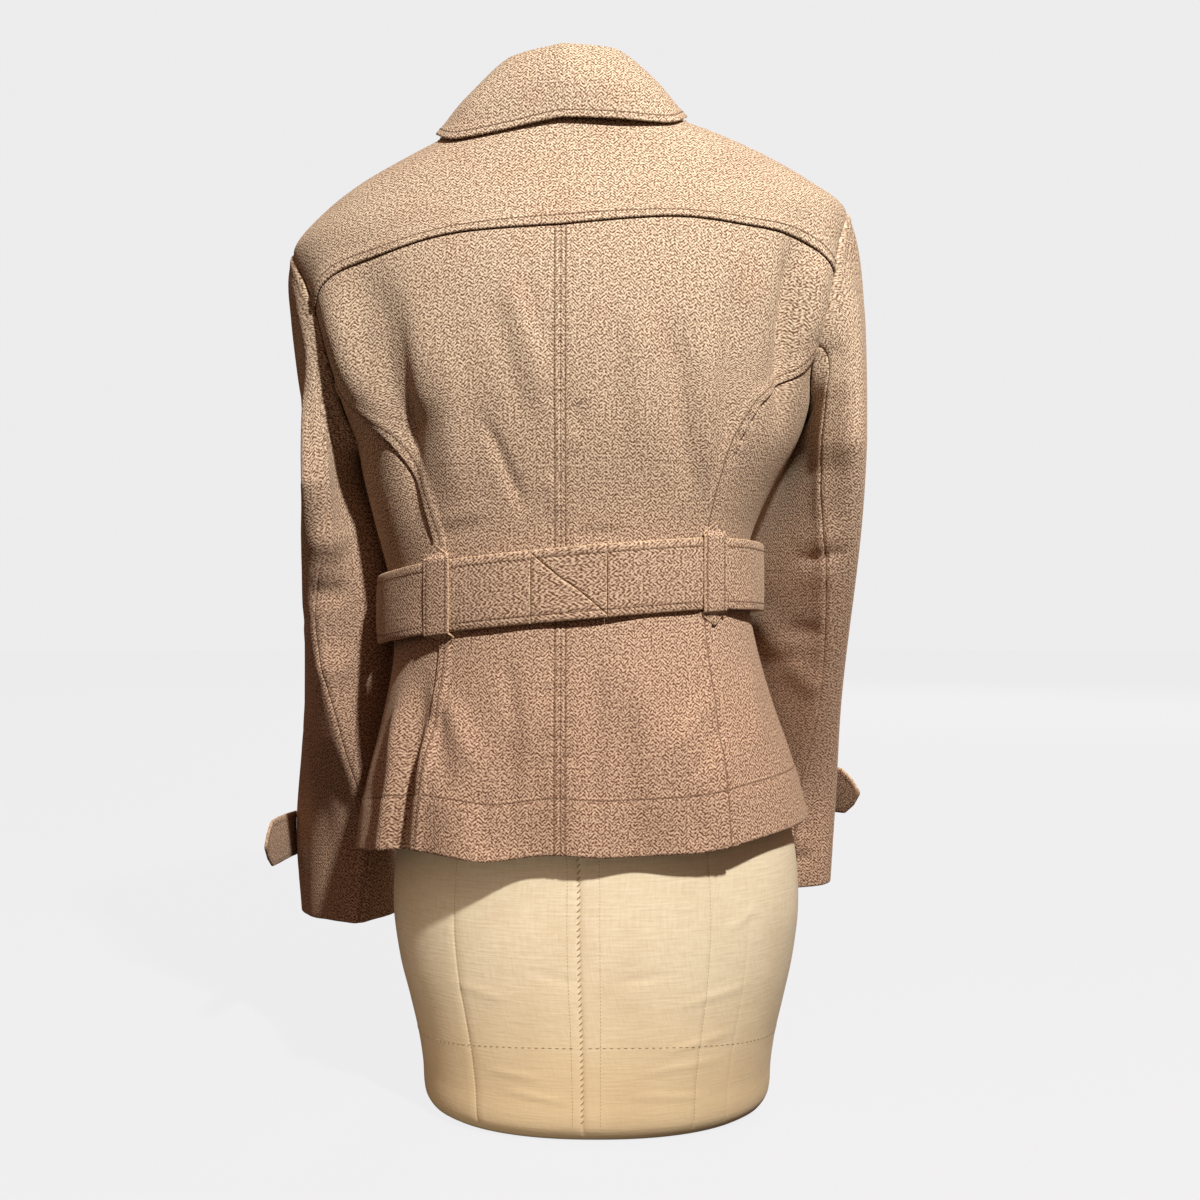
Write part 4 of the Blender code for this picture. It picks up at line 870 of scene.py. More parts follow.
for side, label in SIDES:
    over, up = map(shares, BACK_GRID)
    middle, outside = centre_edge(up * BACK_ROWS), side_edge(side, up * BACK_ROWS)
    hem_angles = mix(middle[0, 0], outside[0, 0], over)
    hem = hem_line(hem_angles)
    place = fill(hem, yoke_seam(side, over), middle, outside, over, up)
    angle, height, points, normals = on_body(place)
    from_centre, from_side, from_low, from_top = edge_distances(points)
    on_lap = 1 - smooth(SIDE_TOP - 0.004, SIDE_TOP + 0.002, height)
    rise = body_creases(angle, height, points)
    rise += open_seam(from_centre) + on_lap * lap_edge(from_side) + (1 - on_lap) * under_edge(from_side)
    rise += under_edge(from_top) + hem_relief(from_low)
    thickness = turned_up(from_low, HEM_DEPTH)
    row = nearest_row(from_centre - CENTRE_STITCH, from_low - HEM_DEPTH,
                      np.where(on_lap > 0.5, from_side - LAP_STITCH, NO_ROW))
    piece, outer = shell("back_%s_cloth" % label, points, normals, rise, thickness,
                         np.stack([from_centre, from_low], -1), row=row)
    lap_rows = height[:, -1] < SIDE_TOP
    rows_of_thread = topstitch("back_%s_stitching" % label, [
        line_at(outer, normals, from_centre, CENTRE_STITCH),
        line_at(outer[lap_rows], normals[lap_rows], from_side[lap_rows], LAP_STITCH),
        line_at(outer, normals, from_low, HEM_DEPTH, by_column=True)])
    sew(piece, "back_%s" % label, points, [rows_of_thread])

# Side panels: narrow pieces under the arms, between the side-back seams and the side seams.
# Their back edges lie beneath the backs' laps, and their tops curve under the armholes.
SIDE_GRID = (36, 130)


def side_seam(side, row):
    """Front edge of a side panel, straight up from the hem to the armhole."""
    head = float(armhole(side, SIDE_SEAM_TURN)[1])
    low, high = SIDE_ROWS[1], SIDE_TOP
    heights = [float(read_table(HEM, side * SIDE_SEAM_ANGLE))]
    heights += [mix(low, head, (height - low) / (high - low)) for height in SIDE_ROWS[1:]]
    found = by_row(heights, row)
    return np.stack([np.full(np.shape(row), side * SIDE_SEAM_ANGLE), found], -1)


for side, label in SIDES:
    over, up = map(shares, SIDE_GRID)
    rows_up = up * (len(SIDE_ROWS) - 1)
    inside, outside = side_edge(side, np.minimum(rows_up, len(SIDE_ROWS) - 1)), side_seam(side, rows_up)
    hem_angles = mix(inside[0, 0], outside[0, 0], over)
    hem = hem_line(hem_angles)
    place = fill(hem, armhole(side, mix(SIDE_BACK_TURN, SIDE_SEAM_TURN, over)), inside, outside, over, up)
    angle, height, points, normals = on_body(place)
    from_back, from_front, from_low, from_top = edge_distances(points)
    rise = body_creases(angle, height, points)
    rise += under_edge(from_back) + open_seam(from_front) + under_edge(from_top) + hem_relief(from_low)
    thickness = turned_up(from_low, HEM_DEPTH)
    piece, outer = shell("side_%s_cloth" % label, points, normals, rise, thickness,
                         np.stack([from_back, from_low], -1), row=from_low - HEM_DEPTH)
    rows_of_thread = topstitch("side_%s_stitching" % label, [
        line_at(outer, normals, from_low, HEM_DEPTH, by_column=True)])
    sew(piece, "side_%s" % label, points, [rows_of_thread])

# Fronts: plain panels from the side seams to the front edge, where the right one laps over the left one.
# They reach the shoulder seams and the neck. Their front edges and hems are topstitched.
SHOULDER_STEPS = 4
FRONT_LAP_ANGLE = 9.0
FRONT_LAP_RISE = CLOTH + 0.0016
# Neck seam: angle from the centre back, height
NECK_SEAM = [
    (0, 0.7760), (60, 0.7755), (90, 0.7740), (125, 0.7700), (150, 0.7560), (163, 0.7360), (172, 0.7160),
    (180, 0.7030), (190, 0.6980),
]
NECK_FRONT_ANGLES = [90, 115, 137, 155, 167, 177]
SHOULDER_LOW, SHOULDER_HIGH = ARMHOLE_MIDDLE + ARMHOLE_HALF_HEIGHT, NECK_SEAM[2][1]
SHOULDER_HEIGHTS = list(np.linspace(SHOULDER_LOW, SHOULDER_HIGH, SHOULDER_STEPS + 1))
FRONT_COLUMNS = SHOULDER_STEPS + len(NECK_FRONT_ANGLES)
FRONT_ARMHOLE = [mix(SIDE_SEAM_TURN, 360, share) for share in (0, 0.17, 0.34, 0.51, 0.67, 0.81, 0.92, 1)]
FRONT_ROWS = len(SIDE_ROWS) - 1 + len(FRONT_ARMHOLE) - 1
FRONT_STITCH = 0.0060
FRONT_GRID = (84, 176)
LEFT_LAP_SHARE = 0.55


def front_outside(side, row):
    """Outer edge of a front: up the side seam, then up the front of the armhole."""
    last = len(SIDE_ROWS) - 1
    above = armhole(side, by_row(FRONT_ARMHOLE, np.maximum(row - last, 0)))
    return np.where((row > last)[:, None], above, side_seam(side, np.minimum(row, last)))


def front_top(side, column, edge_angle):
    """Along the shoulder seam to the neck, then down the neck to the front edge."""
    angles = NECK_FRONT_ANGLES + [edge_angle]
    neck_angle = by_row(angles, np.maximum(column - SHOULDER_STEPS, 0))
    height = np.where(column < SHOULDER_STEPS, by_row(SHOULDER_HEIGHTS, np.minimum(column, SHOULDER_STEPS)),
                      read_table(NECK_SEAM, neck_angle))
    return np.stack([side * neck_angle, height], -1)


for side, label in SIDES:
    over, up = map(shares, FRONT_GRID)
    row = up * FRONT_ROWS
    edge_angle = 180 + (FRONT_LAP_ANGLE if side == RIGHT else FRONT_LAP_ANGLE * LEFT_LAP_SHARE)
    outside = front_outside(side, row)
    hem_angles = side * mix(SIDE_SEAM_ANGLE, edge_angle, over)
    hem = hem_line(hem_angles)
    top = front_top(side, over * FRONT_COLUMNS, edge_angle)
    edge_heights = [hem[-1, 1]] + SIDE_ROWS[1:8]
    edge_heights += list(np.linspace(SIDE_ROWS[7], top[-1, 1], FRONT_ROWS - 6)[1:])
    edge = np.stack([np.full(row.shape, side * edge_angle), by_row(edge_heights, row)], -1)
    chest = len(SIDE_ROWS) - 1
    chest_line = np.stack([hem_angles, mix(by_row(outside[:, 1], np.interp(chest, row, np.arange(len(row)))),
                                           by_row(edge_heights, chest), over)], -1)
    skirt = fill(hem, chest_line, outside, edge, over, row / chest)
    bodice = fill(chest_line, top, outside, edge, over, (row - chest) / (FRONT_ROWS - chest))
    place = np.where((row <= chest)[:, None, None], skirt, bodice)
    angle, height, points, normals = on_body(place)
    from_side, from_edge, from_low, from_top = edge_distances(points)
    lap_start = 180 - FRONT_LAP_ANGLE
    lap = FRONT_LAP_RISE * smooth(lap_start - 16, lap_start - 3, angle) * (side == RIGHT)
    rise = body_creases(angle, height, points) + lap
    rise += open_seam(from_side) + under_edge(from_top) + hem_relief(from_low)
    rise -= 0.0005 * hump(from_edge - FRONT_STITCH, 0.0009)
    thickness = turned_up(from_low, HEM_DEPTH)
    piece, outer = shell("front_%s_cloth" % label, points, normals, rise, thickness,
                         np.stack([from_edge, from_low], -1),
                         row=nearest_row(from_edge - FRONT_STITCH, from_low - HEM_DEPTH))
    rows_of_thread = topstitch("front_%s_stitching" % label, [
        line_at(outer, normals, from_edge, FRONT_STITCH),
        line_at(outer, normals, from_low, HEM_DEPTH, by_column=True)])
    sew(piece, "front_%s" % label, points, [rows_of_thread])

# Yoke: one piece across the shoulders, from the neck and shoulder seams down to a curved lower edge.
# That edge is turned under, lapped over the backs and topstitched, so it throws a fine line of shade.
YOKE_ARMHOLE = [YOKE_TURN * share for share in (1, 0.76, 0.55, 0.37, 0.22, 0.10, 0)]
YOKE_OVERLAP = 0.0012
YOKE_GRID = (180, 52)


def yoke_top(column):
    """Up round the back of the neck, then out along a shoulder seam. Columns count from the centre back."""
    steps = np.abs(column)
    neck_angle = 90 * np.minimum(steps, SHOULDER_STEPS) / SHOULDER_STEPS
    height = np.where(steps <= SHOULDER_STEPS, read_table(NECK_SEAM, neck_angle),
                      by_row(SHOULDER_HEIGHTS[::-1], np.maximum(steps - SHOULDER_STEPS, 0)))
    return np.stack([np.sign(column) * neck_angle, height], -1)


over, up = map(shares, YOKE_GRID)
column = (over * 2 - 1) * BACK_COLUMNS
low_edge = np.where((column < 0)[:, None], yoke_seam(LEFT, np.abs(column) / BACK_COLUMNS),
                    yoke_seam(RIGHT, np.abs(column) / BACK_COLUMNS))
yoke_rows = up * (len(YOKE_ARMHOLE) - 1)
place = fill(low_edge, yoke_top(column), armhole(LEFT, by_row(YOKE_ARMHOLE, yoke_rows)),
             armhole(RIGHT, by_row(YOKE_ARMHOLE, yoke_rows)), over, up)
angle, height, points, normals = on_body(place)
from_left, from_right, from_low, from_top = edge_distances(points)
drop = unit(points[:1] - points[4:5]) * YOKE_OVERLAP
points = points + drop * (1 - smooth(0.0, 0.010, from_low))[..., None]
rise = body_creases(angle, height, points)
rise += lap_edge(from_low) + under_edge(from_left) + under_edge(from_right) + open_seam(from_top, 0.0045)
piece, outer = shell("yoke_cloth", points, normals, rise, np.full(rise.shape, CLOTH + 0.0002),
                     np.stack([from_left - from_left[:, -1:] / 2, from_low], -1), row=from_low - LAP_STITCH)
rows_of_thread = topstitch("yoke_stitching", [line_at(outer, normals, from_low, LAP_STITCH, by_column=True)])
sew(piece, "yoke", points, [rows_of_thread])

# Collar: a stand that rises from the neck seam and a fall that rolls over it and turns down onto the yoke.
# Both are tweed. The fall's outer edge and points are topstitched and stand just off the yoke.
# Collar: neck seam angle, fold line across, forward and height, outer edge's angle, height and lift
COLLAR = [
    (0, 0.0000, -0.0600, 0.8170, 0, 0.7555, 0.0070), (50, 0.0400, -0.0470, 0.8140, 34, 0.7490, 0.0050),
    (70, 0.0530, -0.0270, 0.8095, 60, 0.7590, 0.0040), (90, 0.0625, -0.0040, 0.8025, 90, 0.7640, 0.0042),
    (130, 0.0575, 0.0340, 0.7820, 150, 0.7230, 0.0054),
    (160, 0.0430, 0.0590, 0.7530, 162, 0.6920, 0.0050), (177, 0.0075, 0.0795, 0.7130, 169, 0.6560, 0.0060),
]
COLLAR_ROLL = 0.011
SEAM_GAP = 0.0003
COLLAR_STITCH = 0.0055
COLLAR_COLUMNS, STAND_ROWS, FALL_ROWS = 220, 16, 34
NECK_HEIGHT = 0.774
STRAIGHT_UP = np.array([0, 0, 1.0])


def collar_rows(angle):
    """Neck seam, fold line and outer edge of the collar, and the direction out from the neck."""
    side = np.where(angle >= 0, 1.0, -1.0)
    across, forward, height, edge_angle, edge_height, lift = columns_of(COLLAR, np.abs(angle))
    centre = BODY_X + float(columns_of(BODY, NECK_HEIGHT)[0])
    fold = hang(np.stack([centre + side * across, forward, height], -1))
    foot_height = read_table(NECK_SEAM, np.abs(angle))
    foot = hang(bare_body(angle, foot_height))
    edge_normal = body_normal(side * edge_angle, edge_height)
    edge = hang(bare_body(side * edge_angle, edge_height) + edge_normal * (lift + CLOTH)[..., None])
    outward = unit(np.stack([side * across, forward, np.zeros(np.shape(angle))], -1))
    return foot, fold, edge, outward


def grid_normals(points):
    """Normals of a grid of points, from its neighbours."""
    return unit(np.cross(np.gradient(points, axis=1), np.gradient(points, axis=0)))


collar_marks = list(np.linspace(0, 90, 5)) + NECK_FRONT_ANGLES[1:]
collar_marks = [-mark for mark in collar_marks[:0:-1]] + collar_marks
collar_over = shares(COLLAR_COLUMNS)
collar_angles = by_row(collar_marks, collar_over * (len(collar_marks) - 1))
foot, fold, edge, outward = collar_rows(collar_angles)
up = shares(STAND_ROWS)
points = foot[None] + (fold - foot)[None] * up[:, None, None]
points = points + STRAIGHT_UP * SEAM_GAP
normals = grid_normals(points)
normals = normals * np.sign((normals * outward[None]).sum(-1).mean())
left, _, from_low, _ = edge_distances(points)
piece, outer = shell("collar_stand_cloth", points, normals, np.zeros(left.shape), np.full(left.shape, CLOTH),
                     np.stack([left, from_low], -1))
sew(piece, "collar_stand", points)

down = shares(FALL_ROWS)[:, None, None]
start = (fold + outward * SEAM_GAP + STRAIGHT_UP * CLOTH)[None]
roll = (COLLAR_ROLL * (1 - 0.55 * smooth(25, 90, np.abs(collar_angles))))[None, :, None]
bend = start + (edge[None] - start) * 0.18 + outward[None] * roll
points = start * (1 - down) ** 2 + bend * 2 * down * (1 - down) + edge[None] * down ** 2
normals = grid_normals(points)
normals = normals * np.sign((normals[20] * outward).sum(-1).mean())
left, right, from_fold, from_edge = edge_distances(points)
around = np.minimum(from_edge, np.minimum(left, right))
rise = 0.0010 * np.sin(collar_angles / 17.0)[None] * smooth(0.02, 0.05, from_fold)
rise += 0.0014 * hump((collar_angles - 28)[None] / 14, 1.0) * smooth(0.02, 0.06, from_fold)
rise += 0.0006 * (1 - smooth(0.007, 0.010, around)) - 0.0005 * hump(around - COLLAR_STITCH, 0.0009)
rise -= 0.0036 * (1 - smooth(0.0, 0.035, from_edge)) * (1 - smooth(45, 95, np.abs(collar_angles)))[None]
piece, outer = shell("collar_fall_cloth", points, normals, rise, np.full(left.shape, CLOTH + 0.0004),
                     np.stack([left - left[:, -1:] / 2, from_fold], -1), row=around - COLLAR_STITCH)
rows_of_thread = topstitch("collar_stitching", [
    line_at(outer, normals, from_edge, COLLAR_STITCH, by_column=True)])
sew(piece, "collar_fall", points, [rows_of_thread])

# Sleeves: two pieces each, a wide upper one and a narrow under one, seamed down the back of the elbow.
# The heads are eased into the armholes. The arms hang bent, empty and flattened, with turned-up cuffs.
# Sleeves: height, across, forward, long half axis, short half axis, turn of the long axis
SLEEVE = {
    LEFT: [(0.139, -0.1962, 0.104, 0.0550, 0.0440, 125), (0.215, -0.1983, 0.098, 0.0560, 0.0430, 120),
           (0.300, -0.1942, 0.066, 0.0560, 0.0420, 100), (0.400, -0.1890, 0.045, 0.0580, 0.0400, 80),
           (0.500, -0.1962, 0.010, 0.0720, 0.0225, 84)],
    RIGHT: [(0.138, 0.1775, 0.113, 0.0600, 0.0310, 52), (0.215, 0.1795, 0.107, 0.0620, 0.0290, 50),
            (0.300, 0.1788, 0.078, 0.0640, 0.0280, 51), (0.400, 0.1843, 0.038, 0.0680, 0.0270, 56),
            (0.500, 0.2045, 0.015, 0.0740, 0.0230, 78)],
}
# Twist of the sleeves' seams below the armhole: height, degrees
SLEEVE_TWIST = {
    LEFT: [(0.139, -9), (0.215, 4), (0.300, -16), (0.400, -37), (0.500, 7), (0.560, 4)],
    RIGHT: [(0.138, -19), (0.215, -19), (0.300, -36), (0.400, -24), (0.500, 13), (0.560, 5)],
}
# Fold that the back seam stands up in, and how far the upper sleeve falls in beyond it: rise, sink
SEAM_FOLD = {LEFT: (0.0050, 0.0105), RIGHT: (0.0025, 0.0)}
# Fullness of the sleeve's inner side at the elbow, where it lies against the body
INNER_FULL = {LEFT: 0.011, RIGHT: 0.0}
ELBOW_HEIGHT, ELBOW_SPREAD = 0.440, 0.110
# Creases of the sleeves seen from the back: across and height of both ends, half width, rise
SLEEVE_CREASES = {
    LEFT: [(-0.205, 0.462, -0.172, 0.450, 0.0110, 0.0035), (-0.207, 0.420, -0.172, 0.412, 0.0090, -0.0035),
           (-0.205, 0.362, -0.172, 0.350, 0.0120, 0.0030), (-0.232, 0.600, -0.214, 0.520, 0.0080, -0.0020),
           (-0.236, 0.545, -0.222, 0.430, 0.0100, 0.0016), (-0.232, 0.330, -0.215, 0.230, 0.0100, 0.0018),
           (-0.205, 0.300, -0.178, 0.200, 0.0100, -0.0020), (-0.225, 0.400, -0.205, 0.392, 0.0060, -0.0016),
           (-0.200, 0.175, -0.165, 0.185, 0.0080, 0.0014)],
    RIGHT: [(0.176, 0.4135, 0.2235, 0.4180, 0.0035, -0.0015), (0.176, 0.428, 0.2225, 0.432, 0.0095, 0.0012),
            (0.178, 0.398, 0.218, 0.402, 0.0100, 0.0010), (0.185, 0.490, 0.222, 0.474, 0.0100, -0.0010),
            (0.186, 0.566, 0.214, 0.572, 0.0080, -0.0018), (0.190, 0.545, 0.224, 0.548, 0.0090, 0.0012),
            (0.214, 0.655, 0.226, 0.600, 0.0090, -0.0020), (0.172, 0.360, 0.208, 0.352, 0.0080, -0.0018),
            (0.176, 0.335, 0.205, 0.300, 0.0090, 0.0020), (0.168, 0.157, 0.206, 0.166, 0.0045, -0.0022),
            (0.168, 0.172, 0.208, 0.180, 0.0070, 0.0014), (0.150, 0.380, 0.178, 0.330, 0.0100, 0.0022),
            (0.150, 0.300, 0.172, 0.240, 0.0100, -0.0020)],
}
CUFF_DEPTH = 0.036
UPPER_COLUMNS, UNDER_COLUMNS, HEAD_ROWS, ARM_ROWS = 104, 44, 46, 118
BACK_SEAM_TURN, FRONT_SEAM_TURN = SIDE_BACK_TURN, FRONT_ARMHOLE[2]


def armhole_frame(side, turn):
    """Points on the armhole, the body's normals there and the directions into the armhole."""
    place = armhole(side, turn)
    point, normal = bare_body(place[..., 0], place[..., 1]), body_normal(place[..., 0], place[..., 1])
    before, after = armhole(side, turn - 1), armhole(side, turn + 1)
    along = bare_body(after[..., 0], after[..., 1]) - bare_body(before[..., 0], before[..., 1])
    inward = unit(np.cross(along, normal))
    centre = bare_body(side * 90.0, ARMHOLE_MIDDLE)
    inward = inward * np.where((inward * (centre - point)).sum(-1) < 0, -1.0, 1.0)[..., None]
    return point + normal * fold_rise(place[..., 0], place[..., 1])[..., None], normal, inward


def sleeve_section(side, turn, height):
    """Points round the arm of a sleeve, on flattened rings."""
    across, forward, long_half, short_half, axis_turn = columns_of(SLEEVE[side], height)
    axis = np.radians(axis_turn)
    level = np.zeros(np.shape(axis))
    long_axis = np.stack([-side * np.cos(axis), np.sin(axis), level], -1)
    short_axis = np.stack([-side * np.sin(axis), -np.cos(axis), level], -1)
    round_it = np.radians(turn + read_table(SLEEVE_TWIST[side], height)) - axis
    centre = np.stack([BODY_X + across, forward, height], -1)
    return (centre - long_axis * (long_half * np.cos(round_it))[..., None]
            + short_axis * (short_half * np.sin(round_it))[..., None])


def head_lean(turn):
    """Angle at which the sleeve leaves the body's own surface."""
    low = (1 - np.cos(np.radians(turn))) / 2
    fold_over = 112 * np.where(np.sin(np.radians(turn)) < 0, low ** 2.2, low ** 3.5)
    return np.radians(8 + 22 * np.sin(np.radians(turn)) ** 2 + fold_over)


def sleeve_points(side, turn, step):
    """Steps 0 to 1 cover the sleeve head, steps 1 to 2 the arm down to the cuff."""
    turn, step = np.broadcast_arrays(turn, step)
    top_height, low_height = SLEEVE[side][-1][0], SLEEVE[side][0][0]
    height = mix(top_height, low_height, np.clip(step - 1, 0, 1))
    arm = sleeve_section(side, turn, height)
    point, normal, inward = armhole_frame(side, turn)
    lean = head_lean(turn)
    low = (1 - np.cos(np.radians(turn))) / 2
    start = point + inward * SEAM_GAP
    leave = inward * np.cos(lean)[..., None] + normal * np.sin(lean)[..., None]
    leave = leave * mix(0.120, 0.030, low)[..., None]
    arrive = -STRAIGHT_UP * mix(0.150, 0.040, low)[..., None]
    part = np.clip(step, 0, 1)[..., None]
    head = (start * (2 * part ** 3 - 3 * part ** 2 + 1) + leave * (part ** 3 - 2 * part ** 2 + part)
            + arm * (3 * part ** 2 - 2 * part ** 3) + arrive * (part ** 3 - part ** 2))
    return hang(np.where((step > 1)[..., None], arm, head))


def sleeve_normals(side, turn, step):
    along = sleeve_points(side, turn + 0.5, step) - sleeve_points(side, turn - 0.5, step)
    low, high = np.maximum(step - 0.004, 0), np.minimum(step + 0.004, 2)
    normals = unit(np.cross(along, sleeve_points(side, turn, high) - sleeve_points(side, turn, low))) * side
    point, normal, inward = armhole_frame(side, turn)
    lean = head_lean(turn)[..., None]
    at_head = normal * np.cos(lean) - inward * np.sin(lean)
    return unit(mix(at_head, normals, smooth(0.0, 0.06, step)[..., None]))


def head_steps(count_head, count_arm):
    """Steps down a sleeve, even across the line where the head becomes the arm."""
    head = shares(count_head)
    arm = 1 + shares(count_arm)
    return np.concatenate([head[:-4], arm[4:]])


for side, label in SIDES:
    for part, first, last, count in (("upper", FRONT_SEAM_TURN - 360, BACK_SEAM_TURN, UPPER_COLUMNS),
                                     ("under", BACK_SEAM_TURN, FRONT_SEAM_TURN, UNDER_COLUMNS)):
        turn, step = np.broadcast_arrays(mix(first, last, shares(count))[None, :],
                                         head_steps(HEAD_ROWS, ARM_ROWS)[:, None])
        points = sleeve_points(side, turn, step)
        normals = sleeve_normals(side, turn, step)
        from_first, from_last, from_head, from_cuff = edge_distances(points)
        across, up = level_place(points)
        behind = smooth(-0.25, 0.35, -normals[..., 1])
        rise = behind * crease_rise(across, up, SLEEVE_CREASES[side])
        rise += 0.8 * (1 - behind) * crease_rise(across, up + 0.012, SLEEVE_CREASES[side])
        from_front, from_back = (from_first, from_last) if part == "upper" else (from_last, from_first)
        rise *= smooth(0.004, 0.02, from_front)
        stand, hollow = SEAM_FOLD[side]
        beside = smooth(0.0, 0.045, from_back) * (1 - smooth(0.075, 0.130, from_back)) * (part == "upper")
        rise += (stand * hump(from_back, 0.009) - hollow * beside) * smooth(0.01, 0.05, from_head)
        inner = smooth(0.02, 0.06, from_back) if part == "under" else 1 - smooth(0.0, 0.05, from_front)
        rise += INNER_FULL[side] * inner * hump(up - ELBOW_HEIGHT, ELBOW_SPREAD)
        rise += 0.0010 * hump(from_head - 0.004, 0.004) - 0.0007 * hump(from_head, 0.0012)
        rise += under_edge(from_first) + under_edge(from_last)
        rise -= 0.0003 * hump(from_cuff - CUFF_DEPTH, 0.0012)
        name = "sleeve_%s_%s" % (label, part)
        piece, outer = shell(name + "_cloth", points, normals, rise, turned_up(from_cuff, CUFF_DEPTH),
                             np.stack([from_last, from_cuff], -1))
        sew(piece, name, points)

# Cuff tabs: pointed straps sewn at the front of each cuff. Their free ends stand off, past the sleeve.
# They are two layers of tweed, topstitched inside the edge.
# Tab: distance along it, half width
TAB = [(0.000, 0.0200), (0.020, 0.0203), (0.040, 0.0206), (0.058, 0.0200), (0.068, 0.0120), (0.0755, 0.0012)]
TAB_HEIGHT = {LEFT: 0.2080, RIGHT: 0.2160}
TAB_REST = {LEFT: 0.0001, RIGHT: 0.0002}
TAB_TURN = {LEFT: -20.0, RIGHT: -30.0}
TAB_AIM = {LEFT: unit(np.array([-0.12, -0.993, 0])), RIGHT: unit(np.array([0.66, -0.75, 0]))}
TAB_SEWN = 0.012
TAB_STITCH = 0.0042
TAB_GRID = (40, 22)


def arm_step(side, height):
    """Step down a sleeve's arm at a height."""
    rows = SLEEVE[side]
    return 1 + (rows[-1][0] - height) / (rows[-1][0] - rows[0][0])


def straight_table(table, place):
    """Value of a two-column table along straight lines."""
    return np.interp(place, [row[0] for row in table], [row[1] for row in table])


for side, label in SIDES:
    along = shares(TAB_GRID[0])[None, :] * TAB[-1][0]
    up = (shares(TAB_GRID[1]) * 2 - 1)[:, None]
    along, up = np.broadcast_arrays(along, up)
    step = arm_step(side, TAB_HEIGHT[side] + up * straight_table(TAB, along))
    turn = np.full(step.shape, TAB_TURN[side])
    root = sleeve_points(side, turn, step)
    tangent = unit((sleeve_points(side, turn + 2, step) - root) * (1, 1, 0))
    outward = np.cross(tangent, STRAIGHT_UP) * -side
    points = root + outward * (CLOTH + TAB_REST[side]) + tangent * np.minimum(along, TAB_SEWN)[..., None]
    points = points + TAB_AIM[side] * np.maximum(along - TAB_SEWN, 0.0)[..., None]
    normals = grid_normals(points)
    normals = normals * np.sign((normals * outward).sum(-1).mean())
    edges = edge_distances(points)
    around = np.minimum.reduce(edges[1:])
    rise = 0.0016 * np.sin(along / TAB[-1][0] * np.pi) * up ** 2 - 0.0005 * hump(around - TAB_STITCH, 0.0009)
    piece, outer = shell("tab_%s_cloth" % label, points, normals, rise, np.full(rise.shape, CLOTH + 0.0006),
                         np.stack([up * 0.02, along], -1), edged_tweed, around - TAB_STITCH)
    rows_of_thread = topstitch("tab_%s_stitching" % label, [
        line_at(outer, normals, edges[number], TAB_STITCH, by_column=True) for number in (2, 3)])
    sew(piece, "tab_%s" % label, points, [rows_of_thread])

# Belt: a stiff band of doubled tweed round the waist, topstitched inside both edges.
# Its two lengths meet a block at the centre back, pieced along a slanting seam. It stands just off the body.
# Belt: angle from the centre back, height, distance off the body
BELT = [
    (-180, 0.4040, 0.0080), (-130, 0.4010, 0.0090), (-90, 0.3990, 0.0105), (-60, 0.4030, 0.0060),
    (-40, 0.4060, 0.0042), (0, 0.4085, 0.0050), (45, 0.4085, 0.0042), (60, 0.4060, 0.0060),
    (90, 0.4020, 0.0105), (130, 0.4020, 0.0090), (180, 0.4040, 0.0080),
]
BELT_CLOTH = 0.003
BELT_HALF_HEIGHT = 0.0268
BLOCK_LEFT, BLOCK_RIGHT = -0.0255, 0.0285
BELT_END_ANGLE = 214.0
BELT_STITCH = 0.0062
BELT_ROWS = 22
WAIST_RADIUS = 0.110
BLOCK_HEIGHT = 0.408
block_left_angle, block_right_angle = (
    float(angle_at(np.array(across), np.array(BLOCK_HEIGHT))) for across in (BLOCK_LEFT, BLOCK_RIGHT))
seam_angle = np.degrees(SEAM_GAP / 2 / WAIST_RADIUS)


def belt_line(angle, out):
    """Points at the belt's middle height, and their outward directions."""
    height, off = columns_of(BELT, (angle + 180) % 360 - 180)
    flat = unit(body_normal(angle, height) * (1, 1, 0))
    return hang(bare_body(angle, height) + flat * (off + out)[..., None]), flat


def belt_end_rise(angle):
    """The right end of the belt passes over the left one at the front."""
    return (BELT_CLOTH + 2 * SEAM_GAP) * smooth(150, 166, angle)


def pointed(angle):
    """Half height of the belt's free end, which comes to a blunt point."""
    return mix(BELT_HALF_HEIGHT, 0.010, smooth(BELT_END_ANGLE - 9, BELT_END_ANGLE, angle))


def diagonal(angle, gap):
    """Height of the slanting seam across the block, moved by a gap."""
    share = (angle - block_left_angle) / (block_right_angle - block_left_angle)
    return mix(BELT_HALF_HEIGHT - 0.002, -BELT_HALF_HEIGHT + 0.002, share) + gap


def full_low(angle):
    return np.full(np.shape(angle), -BELT_HALF_HEIGHT)


def full_high(angle):
    return np.full(np.shape(angle), BELT_HALF_HEIGHT)


